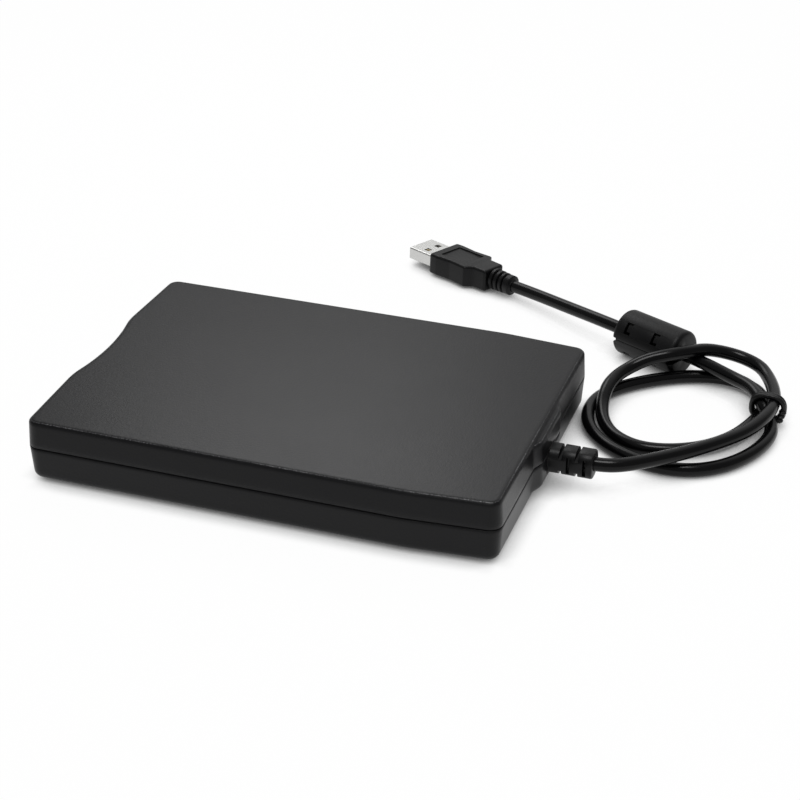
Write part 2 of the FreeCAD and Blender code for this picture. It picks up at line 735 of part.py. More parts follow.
def head_carriage():
    """The carriage: lower head arm, rear block on the rods, arm pivot and screw fork."""
    base = chassis_top + slide_run_gap
    rear = block_front()
    arm = wide(6.5, head_y - 4.0, rear + 1, base, base + 1.7)
    block = wide(guide_half_spacing + 1.4, rear, rear + 9.5, base, guide_height + 1.4)
    ears = [box(x - 0.9, x + 0.9, pivot_y - 3.0, pivot_y + 3.0, guide_height + 1.0,
                arm_pivot_height + 1.6) for x in (-6.5, 6.5)]
    bridge = wide(7.4, rear + 1.0, rear + 3.0, guide_height + 1.0, arm_pivot_height - 1.4)
    follower = box(guide_half_spacing, screw_offset - screw_radius - 0.2, rear + 2, rear + 5,
                   base + 1, screw_height + 1.0)
    fork = box(screw_offset - screw_radius - 0.8, screw_offset + 1.4, rear + 2, rear + 5,
               screw_height - screw_radius - 1.2, screw_height - screw_radius - 0.2)
    body = joined([arm, block, bridge, follower, fork] + ears)
    cuts = [rod(guide_radius + running_fit, V(x, rear - 1, guide_height),
                V(x, rear + 12, guide_height)) for x in (-guide_half_spacing,
                                                         guide_half_spacing)]
    cuts.append(rod(arm_pin_radius + seat_fit, V(-9, pivot_y, arm_pivot_height),
                    V(9, pivot_y, arm_pivot_height)))
    return body.cut(Part.makeCompound(cuts)).removeSplitter()


def lower_head():
    """The lower read and write head, a ceramic slider on its arm."""
    base = chassis_top + slide_run_gap + 1.7
    foot = box(-2.6, 2.6, head_y - 2.6, head_y + 2.6, base, base + 0.8)
    slider = box(-1.5, 1.5, head_y - 1.8, head_y + 1.8, base + 0.7, medium_height)
    groove_cut = box(-0.2, 0.2, head_y - 3, head_y + 3, medium_height - 0.3,
                     medium_height + 1)
    return foot.fuse(slider).cut(groove_cut)


def lifted(shape):
    """A shape drawn with the disk in, turned up to where it is held with no disk."""
    shape.rotate(V(0, pivot_y, arm_pivot_height), X_AXIS, -arm_lift)
    return shape


def upper_head_arm():
    """The sprung arm over the disk, tapering towards the head."""
    z = arm_pivot_height
    plate = prism([(-3.4, head_y - 3.6, 1.0), (3.4, head_y - 3.6, 1.0),
                   (4.7, pivot_y - 0.9, 0), (-4.7, pivot_y - 0.9, 0)], z - 0.2, z + 0.5)
    rib = wide(1.0, head_y + 3, pivot_y - 2, z + 0.4, z + 1.2)
    hub = rod(1.5, V(-5.0, pivot_y, z), V(5.0, pivot_y, z))
    body = joined([plate, rib, hub])
    bore = rod(arm_pin_radius + running_fit, V(-9, pivot_y, z), V(9, pivot_y, z))
    return lifted(body.cut(bore))


def upper_head():
    """The upper read and write head under the arm's end."""
    top = arm_pivot_height - 0.2
    mount = wide(2.2, head_y - 2.2, head_y + 2.2, top - 0.7, top)
    slider = wide(1.4, head_y - 1.7, head_y + 1.7, medium_height + 0.1, top - 0.6)
    return lifted(mount.fuse(slider))


def arm_pivot_pin():
    """The pin through the carriage's ears and the arm."""
    return rod(arm_pin_radius, V(-8.0, pivot_y, arm_pivot_height),
               V(8.0, pivot_y, arm_pivot_height))


def stepper_y():
    """Front face of the stepper motor."""
    return mech_rear - stepper_length - 1.5


def lead_screw():
    """The stepper's lead screw, carried by the motor and a bracket."""
    y0 = disk_stop_y + 2.0
    at = lambda y: V(screw_offset, y, screw_height)
    return joined([rod(screw_radius, at(y0), at(stepper_y() - 0.4)),
                   rod(screw_journal_radius, at(disk_stop_y + 0.7), at(stepper_y() + 2.0))])


def stepper_motor():
    """The round can of the head stepper, with its front boss."""
    at = lambda y: V(screw_offset, y, screw_height)
    y0 = stepper_y()
    can = rod(stepper_radius, at(y0), at(y0 + stepper_length))
    can = can.makeChamfer(0.5, can.Edges[:1])
    flat = box(screw_offset - 9, screw_offset + 9, y0 - 1, y0 + 20, 0, chassis_top)
    bore = rod(screw_journal_radius + running_fit, at(y0 - 1), at(y0 + 3))
    return can.cut(flat).cut(bore)


# ---- Boards, sensors and connectors ---------------------------------------------------------
def control_board_bottom():
    """Underside of the control board on its spacers."""
    return chassis_top + 1.0


def control_board_corner():
    """The control board's left front corner, beside the wall and behind the lever."""
    return (control_board_side_gap - chassis_inner,
            mech_front + lever_pivot[1] + control_board_lever_gap)


def control_board_right():
    """The control board's right edge, beside the left guide rod."""
    return -(guide_half_spacing + control_board_rod_gap)


def control_board():
    """The mechanism's control board, at the rear left of the chassis."""
    left, front = control_board_corner()
    bottom = control_board_bottom()
    return box(left, control_board_right(), front, mech_rear - 1.0, bottom, bottom + board)


def control_parts():
    """Chip, connector and capacitor on the control board, and its two spacers."""
    left, front = control_board_corner()
    right = control_board_right()
    top = control_board_bottom() + board
    chip = box(left + 4, left + 14, front + 4, front + 14, top, top + 1.2)
    plug = box(right - 11.5, right - 2, mech_rear - 5.6, mech_rear - 1.6, top, top + 1.8)
    can = rod(1.6, V(right - 5, front + 6, top), V(right - 5, front + 6, top + 2.4))
    spacers = [rod(1.8, V(x, front + 10, chassis_top), V(x, front + 10, control_board_bottom()))
               for x in (left + 2.5, right - 2.5)]
    return Part.makeCompound([chip, plug, can] + spacers)


def sensor_switches():
    """Two small switch bodies on the motor board, bored for their plungers."""
    y = mech_front + sensor_setback
    base = chassis_top + sheet
    body = box(sensor_half_spacing - 3, sensor_half_spacing + 3, y - 1.6, y + 1.6, base,
               base + 1.8)
    bore = rod(sensor_pin_radius + pin_fit, V(sensor_half_spacing, y, base + 0.1),
               V(sensor_half_spacing, y, 20))
    return both_sides(body.cut(bore))


def sensor_pin(side):
    """A sprung plunger that the lowered disk presses."""
    x, y = side * sensor_half_spacing, mech_front + sensor_setback
    foot = chassis_top + sheet + 0.2 + sensor_travel
    return rod(sensor_pin_radius, V(x, y, foot), V(x, y, foot + 1.7))


def lamp():
    """The lamp on the motor board, behind the light pipe."""
    z = pipe_bottom()
    y = board_front()
    return box(-button_centre - 1.6, -button_centre + 1.6, y, y + 1.2, chassis_top + sheet,
               z + pipe_height)


def usb_board_bottom():
    """Underside of the USB board on its posts."""
    return floor_top + 1.6


def usb_board_rear():
    """Rear edge of the USB board, clear of the strain relief's flange."""
    return rear_inner_y - 1.8


def usb_board():
    """The USB controller board behind the mechanism."""
    z = usb_board_bottom()
    y1 = usb_board_rear()
    plate = wide(usb_board_width / 2, y1 - usb_board_depth, y1, z, z + board)
    holes = [rod(pilot_radius + 0.2, V(x, y, 0), V(x, y, case_height))
             for x, y in board_post_places()]
    return plate.cut(Part.makeCompound(holes))


def usb_board_parts():
    """Controller chip, crystal, cable header and flat-cable socket on the USB board."""
    top = usb_board_bottom() + board
    y1 = usb_board_rear()
    chip = box(-17, -9, y1 - 10, y1 - 2, top, top + 1.2)
    crystal = prism([(8, y1 - 4.6, 1.6), (17, y1 - 4.6, 1.6), (17, y1 - 1.2, 1.6),
                     (8, y1 - 1.2, 1.6)], top, top + 2.4)
    socket = box(-31, -20, y1 - usb_board_depth + 0.4, y1 - usb_board_depth + 3.4, top,
                 top + 1.8)
    return Part.makeCompound([chip, crystal, socket])


def cable_header():
    """The white header that the cable's wires plug into."""
    top = usb_board_bottom() + board
    y1 = usb_board_rear() - usb_board_depth
    return box(-5.0, 5.0, y1 + 0.6, y1 + 4.6, top, top + 3.0)


def flat_cable():
    """The flat cable that links the control board to the USB board."""
    thin = 0.15
    z0 = control_board_bottom() + board + 0.9
    z1 = usb_board_bottom() + board + 0.9
    y0 = mech_rear - 1.6
    y1 = usb_board_rear() - usb_board_depth + 0.4
    x1 = control_board_right() - 3.5
    x0 = x1 - 7.0
    run = Part.makePolygon([V(x0, y0, z0), V(x0, y0 + 0.8, z0), V(x0, y1 - 0.4, z1),
                            V(x0, y1, z1), V(x0, y1, z1 + thin), V(x0, y1 - 0.4, z1 + thin),
                            V(x0, y0 + 0.8, z0 + thin), V(x0, y0, z0 + thin), V(x0, y0, z0)])
    return Part.Face(run).extrude(V(x1 - x0, 0, 0))


# ---- Cable -------------------------------------------------------------------------------
def bent_tube(points, radius, label=None):
    """Straight runs joined by tangent arcs, each as large as its two runs allow."""
    edges = []
    start = points[0]
    radii = []
    for i in range(1, len(points) - 1):
        corner = points[i]
        back, ahead = points[i - 1] - corner, points[i + 1] - corner
        reach = 0.45 * min(back.Length, ahead.Length)
        half_turn = (math.pi - back.getAngle(ahead)) / 2
        bend = reach / math.tan(half_turn)
        radii.append(bend)
        back.normalize()
        ahead.normalize()
        a, b = corner + back * reach, corner + ahead * reach
        crown = bend / math.cos(half_turn) - bend
        middle = corner + (back + ahead).normalize() * crown
        edges.append(Part.LineSegment(start, a).toShape())
        edges.append(Part.Arc(a, middle, b).toShape())
        start = b
    edges.append(Part.LineSegment(start, points[-1]).toShape())
    path = Part.Wire(edges)
    first = (points[1] - points[0]).normalize()
    ring = Part.Wire([Part.makeCircle(radius, points[0], first)])
    tube = path.makePipeShell([ring], True, False)
    if label:
        print(label, "bend radii", [round(r, 1) for r in radii],
              "length", round(path.Length, 1),
              "volume share", round(tube.Volume / (math.pi * radius ** 2 * path.Length), 4))
    return tube


relief_end = boss_y + relief_length
relief_bore = 4.1            # how far the cable's free end sits inside the sleeve
lead_route = [
    V(0.0, relief_end - relief_bore, relief_axis_height),
    V(0.0, relief_end + 2.2, relief_axis_height), V(-2.6, 96.0, 8.5), V(-8.6, 102.9, 8.2),
    V(-17.0, 111.4, 7.7),
]
ferrite_right = V(-79.5, 98.23, ferrite_radius)
ferrite_heading = -25.5      # degrees from the Y axis
plug_lift = plug_width / 2 * math.sin(math.radians(plug_roll))
plug_front = V(-131.4, -2.0, plug_lift)
plug_heading = -25.0
ferrite_along = V(-math.sin(math.radians(ferrite_heading)),
                  math.cos(math.radians(ferrite_heading)), 0)
plug_along = V(-math.sin(math.radians(plug_heading)),
               math.cos(math.radians(plug_heading)), 0)
ferrite_left = ferrite_right - ferrite_along * ferrite_length
boot_end = plug_front + plug_along * (plug_length + boot_length) + V(0, 0, plug_height / 2)
tail_route = [
    V(-71.2, 115.6, 6.4), ferrite_right + ferrite_along * 6.0,
    ferrite_left - ferrite_along * 8.0, V(-103.4, 52.6, 6.2),
    boot_end + plug_along * 10.0 + V(0, 0, 0.3), boot_end,
]
raised_turn = [
    V(-74.4, 127.0, 6.4), V(-80.2, 123.4, 7.2), V(-83.4, 117.2, 8.4), V(-83.0, 110.6, 9.9),
    V(-79.6, 105.0, 12.0), V(-74.4, 99.8, 12.7), V(-70.2, 94.0, 12.4), V(-67.8, 88.0, 10.2),
    V(-64.0, 83.0, 7.2),
]
coil_height = 9.2
coil_centre = (-51.4, 104.4)
coil_outer = (38.6, 31.2)
coil_inner = (20.8, 19.2)
coil_end_radius = 26.5
coil_inner_end_radius = 17.0
coil_middle = (-50.0, 103.4)
tie_x = -58.0
tie_half = (4.6, 4.0)
tie_centre = (129.6, 5.0)


def strain_relief():
    """The moulded sleeve in the case's outlet: flange, neck, collar and slotted nose."""
    z = relief_axis_height
    w, h = relief_width / 2, relief_height / 2

    def stretch(half_w, half_h, y0, y1, radius):
        """A rounded block of the sleeve between two stations."""
        outline = rounded_outline([(-half_w, -half_h, radius), (half_w, -half_h, radius),
                                   (half_w, half_h, radius), (-half_w, half_h, radius)])
        bar = Part.Face(outline).extrude(V(0, 0, y1 - y0))
        bar.rotate(V(0, 0, 0), X_AXIS, -90)
        bar.translate(V(0, y0, z))
        return bar

    flange = stretch(w + 1.2, h + 1.0, rear_inner_y - 1.5, rear_inner_y - 0.1, 1.0)
    neck = stretch(w, h, rear_inner_y - 0.2, boss_y + relief_collar, 0.4)
    nose = stretch(w, h, boss_y + relief_collar - 0.1, relief_end, 2.2)
    cuts = []
    pitch = (relief_length - relief_collar - 1.6) / 4
    for i in range(4):
        y = boss_y + relief_collar + 1.4 + i * pitch
        if i % 2 == 0:
            for sign in (-1, 1):
                mid = z + sign * (h - relief_slot_depth / 2 + 0.5)
                cuts.append(wide(w + 1, y, y + relief_slot, mid - relief_slot_depth / 2 - 0.5,
                                 mid + relief_slot_depth / 2 + 0.5))
        else:
            for sign in (-1, 1):
                mid = sign * (w - relief_slot_depth / 2 + 0.5)
                cuts.append(box(mid - relief_slot_depth / 2 - 0.5,
                                mid + relief_slot_depth / 2 + 0.5, y, y + relief_slot,
                                z - h + 1.6, z + h - 1.6))
    cuts.append(rod(cable_radius + pin_fit, V(0, relief_end - relief_bore, z),
                    V(0, relief_end + 1, z)))
    body = joined([flange, neck, nose])
    return body.cut(Part.makeCompound(cuts))


def cable_lead():
    """The free cable from the strain relief to the coil."""
    return bent_tube(lead_route, cable_radius, "cable_lead")


def cable_tail():
    """The cable from the coil through the ferrite to the plug's boot."""
    return bent_tube(tail_route, cable_radius, "cable_tail")


def oval_prism(centre, half, end_radius, z0, z1):
    """An upright prism whose plan is an oval of four tangent arcs."""
    length, width = half
    side_radius = (length ** 2 + width ** 2 - 2 * length * end_radius)
    side_radius /= 2 * (width - end_radius)
    turn = math.atan2(side_radius - width, length - end_radius)
    join_x = length - end_radius + end_radius * math.cos(turn)
    join_y = end_radius * math.sin(turn)
    origin = V(centre[0], centre[1], z0)
    stretches = [
        ((join_x, -join_y), (length, 0), (join_x, join_y)),
        ((join_x, join_y), (0, width), (-join_x, join_y)),
        ((-join_x, join_y), (-length, 0), (-join_x, -join_y)),
        ((-join_x, -join_y), (0, -width), (join_x, -join_y)),
    ]
    arcs = [Part.Arc(*[origin + V(x, y, 0) for x, y in stretch]).toShape()
            for stretch in stretches]
    return Part.Face(Part.Wire(arcs)).extrude(V(0, 0, z1 - z0))


def rounded_bar(x0, x1, centre, half, radius):
    """A bar along X with a rounded section, centre and half given as (y, z)."""
    section = rounded_outline([(-half[0], -half[1], radius), (half[0], -half[1], radius),
                               (half[0], half[1], radius), (-half[0], half[1], radius)])
    bar = Part.Face(section).extrude(V(0, 0, x1 - x0))
    turn = FreeCAD.Rotation(Y_AXIS, Z_AXIS, X_AXIS, "ZXY")
    bar.Placement = FreeCAD.Placement(V(x0, centre[0], centre[1]), turn)
    return bar


def cable_coil():
    """The outer form of the loose turns: a low ring, waisted at the tie, one turn raised."""
    ring = oval_prism(coil_centre, coil_outer, coil_end_radius, 0, coil_height)
    edges = [e for e in ring.Edges if e.BoundBox.ZLength < 0.01]
    ring = ring.makeChamfer(cable_radius * 0.7, edges)
    ring = ring.cut(oval_prism(coil_middle, coil_inner, coil_inner_end_radius, -1,
                               coil_height + 1))
    room = tie_width / 2 + 0.6
    gap = box(tie_x - room, tie_x + room, coil_centre[1], 150, -1, coil_height + 1)
    waist = rounded_bar(tie_x - room - 0.1, tie_x + room + 0.1, tie_centre, tie_half,
                        cable_radius)
    across = V(ferrite_along.y, -ferrite_along.x, 0)
    near = ferrite_right + ferrite_along * 0.6 + across * (ferrite_radius + 0.3)
    far = near - across * 40
    away = ferrite_along * -60
    berth = Part.Face(Part.makePolygon([near, near + away, far + away, far, near]))
    berth.translate(V(0, 0, -ferrite_radius - 1))
    berth = berth.extrude(V(0, 0, coil_height + 3))
    ring = ring.cut(gap).cut(berth).fuse(waist)
    ring = ring.cut(bent_tube(lead_route, cable_radius + pin_fit))
    ring = ring.cut(bent_tube(tail_route[:3], cable_radius + pin_fit))
    return joined([ring, bent_tube(raised_turn, cable_radius, "raised turn")])


def cable_tie():
    """The wrapped tie round the bundle, with its twisted tail."""
    x0, x1 = tie_x - tie_width / 2, tie_x + tie_width / 2
    outer = (tie_half[0] + tie_thickness, tie_half[1] + tie_thickness)
    inner = (tie_half[0] + seat_fit, tie_half[1] + seat_fit)
    wrap = rounded_bar(x0, x1, tie_centre, outer, cable_radius + tie_thickness)
    hole = rounded_bar(x0 - 1, x1 + 1, tie_centre, inner, cable_radius + seat_fit)
    end_y = tie_centre[0] + outer[0]
    tail = rod(0.8, V(tie_x, end_y - 0.6, tie_centre[1] - 0.4),
               V(tie_x + 1.8, end_y + 2.6, tie_centre[1] - 3.4))
    return wrap.cut(hole).fuse(tail)


def placed(shape, origin, heading, roll=0.0):
    """A piece drawn along +Y from the origin, rolled on its axis and moved to its place."""
    shape.rotate(V(0, 0, plug_height / 2), Y_AXIS, -roll)
    shape.rotate(V(0, 0, 0), Z_AXIS, heading)
    shape.translate(origin)
    return shape


def ferrite_half(upper):
    """One half of the clip-on case, drawn from its left end, with its two latch windows."""
    round_bar = rod(ferrite_radius, V(0, 0, 0), V(0, ferrite_length, 0))
    round_bar = round_bar.makeChamfer(1.4, [e for e in round_bar.Edges
                                            if isinstance(e.Curve, Part.Circle)])
    inner = ferrite_radius - ferrite_wall
    hollow = rod(inner, V(0, ferrite_wall * 2, 0), V(0, ferrite_length - ferrite_wall * 2, 0))
    bore = rod(cable_radius + pin_fit, V(0, -1, 0), V(0, ferrite_length + 1, 0))
    z0, z1 = (ferrite_seam / 2, 20) if upper else (-20, -ferrite_seam / 2)
    half = round_bar.cut(hollow.fuse(bore)).common(box(-20, 20, -5, 50, z0, z1))
    cuts = []
    for y in latch_stations():
        if upper:
            cuts.append(box(latch_inner - 0.2, latch_outer + 0.7, y - 1.8, y + 1.8, -1,
                            latch_window_top))
            cuts.append(box(latch_inner - 0.2, ferrite_radius + 1, y - 1.8, y + 1.8,
                            latch_window_bottom, latch_window_top))
        else:
            cuts.append(box(latch_outer + 0.2, ferrite_radius + 1, y - 1.8, y + 1.8,
                            -latch_window_top, -latch_window_top + 1.6))
    return half.cut(Part.makeCompound(cuts))


def latch_stations():
    """Where the two clips stand along the ferrite's case."""
    return ferrite_length * 0.27, ferrite_length * 0.73


def ferrite_latches():
    """Two clips of the lower half that catch in the windows of the upper half."""
    clips = []
    for y in latch_stations():
        clips.append(box(latch_inner, latch_outer, y - 1.5, y + 1.5, -2.5,
                         latch_window_bottom + 1.2))
        clips.append(box(latch_inner, ferrite_radius - ferrite_wall + 0.3, y - 1.5, y + 1.5,
                         -2.5, -1.2))
    return clips


def ferrite_core(upper):
    """Half of the sintered core that the case holds round the cable."""
    outer = ferrite_radius - ferrite_wall - 0.1
    bar = rod(outer, V(0, ferrite_wall * 2 + 0.1, 0),
              V(0, ferrite_length - ferrite_wall * 2 - 0.1, 0))
    bar = bar.cut(rod(cable_radius + 0.3, V(0, -1, 0), V(0, 60, 0)))
    z0, z1 = (0.15, 20) if upper else (-20, -0.15)
    bar = bar.common(box(-20, 20, -5, 60, z0, z1))
    return bar.cut(box(latch_inner - 0.2, 20, -5, 60, -6.0, latch_window_top + 0.2))


def plug_overmold():
    """The moulded grip: waisted sides, rounded edges, a shoulder and a ribbed boot."""
    half, h, axis_z = plug_width / 2, plug_height, plug_height / 2
    right = [(half, 0, 1.2), (half - 0.4, plug_length * 0.4, 20.0),
             (half + 0.4, plug_length * 0.78, 6.0), (half - 1.8, plug_length, 1.6)]
    left = [(-x, y, radius) for x, y, radius in reversed(right)]
    grip = prism(right + left, 0, h)
    grip = grip.makeChamfer(0.7, [e for e in grip.Edges if e.BoundBox.ZLength < 0.01])
    step = (h - plug_nose_height) / 2
    full = plug_length * 0.78
    side = Part.makePolygon([V(-half - 1, -1, step), V(-half - 1, full, 0),
                             V(-half - 1, plug_length + 1, 0), V(-half - 1, plug_length + 1, h),
                             V(-half - 1, full, h), V(-half - 1, -1, h - step),
                             V(-half - 1, -1, step)])
    grip = grip.common(Part.Face(side).extrude(V(2 * half + 2, 0, 0)))
    neck = wide(half - 2.2, plug_length - 1, plug_length + 4.2, 0.4, h - 0.4)
    neck = neck.makeChamfer(1.6, [e for e in neck.Edges if e.BoundBox.YLength > 3])
    ribs = []
    pitch = (boot_length - 4.2 - 3.0) / 3
    for i in range(4):
        y = plug_length + 4.2 + (i + 0.35) * pitch
        reach = pitch * 0.65 if i < 3 else boot_length - 4.2 - 3.35 * pitch
        ribs.append(Part.makeCylinder(3.9 - 0.25 * i, reach, V(0, y, axis_z), Y_AXIS))
    core = Part.makeCylinder(cable_radius + 0.6, boot_length, V(0, plug_length - 0.2, axis_z),
                             Y_AXIS)
    return joined([grip, neck, core] + ribs)


def plug_shell():
    """The folded steel shell of the USB plug, with two square windows top and bottom."""
    w, h = usb_tip_width / 2, usb_tip_height / 2
    z = plug_height / 2
    outer = box(-w, w, -usb_tip_length, 0, z - h, z + h)
    outer = outer.makeFillet(0.6, [e for e in outer.Edges if e.BoundBox.YLength > 5])
    inner = box(-w + usb_tip_wall, w - usb_tip_wall, -usb_tip_length - 1, 1,
                z - h + usb_tip_wall, z + h - usb_tip_wall)
    holes = [box(x - 1.1, x + 1.1, -usb_tip_length * 0.46 - 1.1, -usb_tip_length * 0.46 + 1.1,
                 0, 20) for x in (-2.6, 2.6)]
    return outer.cut(Part.makeCompound([inner] + holes))


def plug_tongue():
    """The insulating tongue inside the shell."""
    z = plug_height / 2
    h = usb_tip_height / 2 - usb_tip_wall - seat_fit
    return wide(usb_tip_width / 2 - usb_tip_wall - seat_fit, -usb_tip_length + 0.6, 0, z - h,
                z - h + 1.9)


def plug_contacts():
    """Four gilded contacts on the tongue."""
    z = plug_height / 2 - usb_tip_height / 2 + usb_tip_wall + seat_fit + 1.9
    return Part.makeCompound([box(x - 0.5, x + 0.5, -usb_tip_length + 1.6, -1.0, z, z + 0.15)
                              for x in (-3.5, -1.0, 1.0, 3.5)])


# ---- All nodes ---------------------------------------------------------------------------
def main():
    """Build every piece and write it."""
    os.makedirs("parts", exist_ok=True)
    body = case_body()
    save("bottom_cover", bottom_cover(body))
    save("top_cover", top_cover(body))
    for piece in (rubber_feet, front_bezel, door_flap,
                  door_spring, eject_button, led_light_pipe, chassis, eject_slide,
                  slide_springs, disk_carrier, latch_lever, latch_spring, motor_board,
                  stator_coils, spindle_bearing, spindle_rotor, rotor_magnet, guide_rods,
                  head_carriage, lower_head, upper_head_arm, upper_head, arm_pivot_pin,
                  lead_screw, stepper_motor, control_board, control_parts, sensor_switches,
                  lamp, usb_board, usb_board_parts, cable_header, flat_cable,
                  strain_relief, cable_lead, cable_coil, cable_tail, cable_tie):
        save(piece.__name__, piece())
    save("disk_sensor_pin", sensor_pin(-1))
    save("write_protect_pin", sensor_pin(1))
    lower = joined([ferrite_half(False)] + ferrite_latches())
    save("ferrite_lower_case", placed(lower, ferrite_left, ferrite_heading))
    save("ferrite_upper_case", placed(ferrite_half(True), ferrite_left, ferrite_heading))
    save("ferrite_lower_core", placed(ferrite_core(False), ferrite_left, ferrite_heading))
    save("ferrite_upper_core", placed(ferrite_core(True), ferrite_left, ferrite_heading))
    for piece in (plug_overmold, plug_shell, plug_tongue, plug_contacts):
        save(piece.__name__, placed(piece(), plug_front, plug_heading, plug_roll))


main()
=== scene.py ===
"""Dressed model of an external USB floppy disk drive with its tied cable.

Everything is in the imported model's frame, in metres: +Y runs from the disk slot to the
cable outlet and +Z points up. Sizes below are in millimetres unless a name says otherwise.
"""
import logging
import math
from dataclasses import dataclass, field
from enum import Enum
from typing import Any, Iterable, Optional, Sequence

import bmesh
import bpy
from mathutils import Matrix, Vector


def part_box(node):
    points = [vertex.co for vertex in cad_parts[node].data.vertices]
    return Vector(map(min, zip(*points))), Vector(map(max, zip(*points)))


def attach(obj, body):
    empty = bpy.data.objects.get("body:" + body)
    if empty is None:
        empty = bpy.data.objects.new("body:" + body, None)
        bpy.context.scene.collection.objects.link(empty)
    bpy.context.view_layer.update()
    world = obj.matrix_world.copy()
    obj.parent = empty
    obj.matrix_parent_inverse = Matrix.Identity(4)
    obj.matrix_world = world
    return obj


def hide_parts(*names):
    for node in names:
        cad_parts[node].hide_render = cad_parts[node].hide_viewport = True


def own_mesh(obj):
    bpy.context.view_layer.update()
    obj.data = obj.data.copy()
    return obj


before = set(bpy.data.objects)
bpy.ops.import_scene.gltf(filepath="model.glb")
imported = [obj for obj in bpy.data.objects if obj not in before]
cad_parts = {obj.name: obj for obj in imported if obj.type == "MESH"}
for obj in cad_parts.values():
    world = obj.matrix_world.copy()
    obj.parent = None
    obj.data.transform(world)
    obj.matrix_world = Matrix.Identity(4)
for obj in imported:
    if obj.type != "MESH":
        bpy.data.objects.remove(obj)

LOG = logging.getLogger("floppy_drive")
MM = 0.001
Point = tuple[float, float, float]
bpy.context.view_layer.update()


def place(point: Sequence[float]) -> Vector:
    """Turn a point in millimetres into metres.

    Args:
        point: X, Y and Z in millimetres.

    Returns:
        The same point as a vector in metres.
    """
    return Vector(point) * MM


def linear(hex_colour: str) -> tuple[float, float, float, float]:
    """Turn an sRGB hex colour into the linear colour that shaders take.

    Args:
        hex_colour: Six hex digits after a hash sign.

    Returns:
        Red, green, blue and alpha, linear.
    """
    channels = [int(hex_colour[i:i + 2], 16) / 255 for i in (1, 3, 5)]
    red, green, blue = [c / 12.92 if c <= 0.04045 else ((c + 0.055) / 1.055) ** 2.4
                        for c in channels]
    return red, green, blue, 1.0


def add_node(tree: bpy.types.NodeTree, kind: str, inputs: Optional[dict[Any, Any]] = None,
             **settings: Any) -> bpy.types.Node:
    """Add one shader node with its settings, values and links.

    Args:
        tree: The node tree that gets the node.
        kind: Blender's name for the node type.
        inputs: Values or output sockets for the node's inputs, by name or number.
        **settings: The node's own properties.

    Returns:
        The new node.
    """
    node = tree.nodes.new(kind)
    for name, value in settings.items():
        setattr(node, name, value)
    for name, value in (inputs or {}).items():
        if isinstance(value, bpy.types.NodeSocket):
            tree.links.new(value, node.inputs[name])
        else:
            node.inputs[name].default_value = value
    return node


def calc(tree: bpy.types.NodeTree, operation: str, *values: Any) -> bpy.types.NodeSocket:
    """Add a maths node.

    Args:
        tree: The node tree that gets it.
        operation: Blender's name for the operation.
        *values: Its numbers or sockets, in order.

    Returns:
        The socket with the result.
    """
    return add_node(tree, "ShaderNodeMath", dict(enumerate(values)),
                    operation=operation).outputs[0]


def ranged(tree: bpy.types.NodeTree, value: bpy.types.NodeSocket,
           source: tuple[float, float], target: tuple[float, float] = (0.0, 1.0)
           ) -> bpy.types.NodeSocket:
    """Stretch one range of a value over another, and hold it between the ends.

    Args:
        tree: The node tree that gets the node.
        value: The value.
        source: The range that is taken.
        target: What its two ends become.

    Returns:
        The socket with the result.
    """
    return add_node(tree, "ShaderNodeMapRange",
                    {"Value": value, "From Min": source[0], "From Max": source[1],
                     "To Min": target[0], "To Max": target[1]}).outputs["Result"]


def noise(tree: bpy.types.NodeTree, where: bpy.types.NodeSocket, scale: float,
          detail: float, roughness: float = 0.5) -> bpy.types.NodeSocket:
    """Add a noise pattern.

    Args:
        tree: The node tree that gets it.
        where: Position on the piece, in metres.
        scale: Grains in a metre.
        detail: Number of finer layers.
        roughness: Strength of the finer layers.

    Returns:
        The socket that gives the pattern from 0 to 1.
    """
    return add_node(tree, "ShaderNodeTexNoise",
                    {"Vector": where, "Scale": scale, "Detail": detail,
                     "Roughness": roughness}).outputs["Fac"]


# ---- Finishes --------------------------------------------------------------------------

SHOULDER_UPWARD = 0.89     # height of the unit normal where a rounded top edge gets its painted highlight
SHOULDER_SPAN = 0.09       # how far from that height the painted highlight fades out
SPECK_WIDTH = 0.55         # millimetres across one speck of the painted highlight
SPECK_EDGE = (0.42, 0.68)  # values of its noise where a speck starts and is full
PATCH_WIDTH = 22.0         # millimetres from one stretch of painted highlight to the next
PATCH_EDGE = (0.42, 0.6)   # values of its noise where a stretch starts and is full
PATCH_LEAST = 0.15         # share of the painted highlight between two such stretches
# pale colour of the painted highlight along the upper shoulders
PAINTED_HIGHLIGHT_COLOUR = "#a2a2a4"
DRIFT_SCALE = 45.0         # patches of colour and gloss in a metre: one about every 22 mm
GRAIN_SHARE = 0.3          # part of the colour's drift that follows the grain
GLOSS_DRIFT = 0.7          # drift of the roughness for each part of drift in the colour
GLOSS_DRIFT_MOST = 0.1
GLOSS_EDGE = (0.3, 0.7)    # values of the drift at the glossiest and the dullest spot
BUMP_STRENGTH = 0.6
COAT_ROUGHNESS = 0.25
WAVE_REPEAT = 0.31         # length of one ring of the wave texture at scale 1


class Grain(Enum):
    """How a surface was made, which sets the shape of its fine pattern."""

    ERODED = "spark-eroded mould"
    SMOOTH = "polished mould"
    BRUSHED = "rolled or brushed along Y"
    TURNED = "drawn or ground round an axis along Y"
    WOUND = "wound wire"
    CAST = "sintered or cast"
    BOARD = "etched board under solder resist"


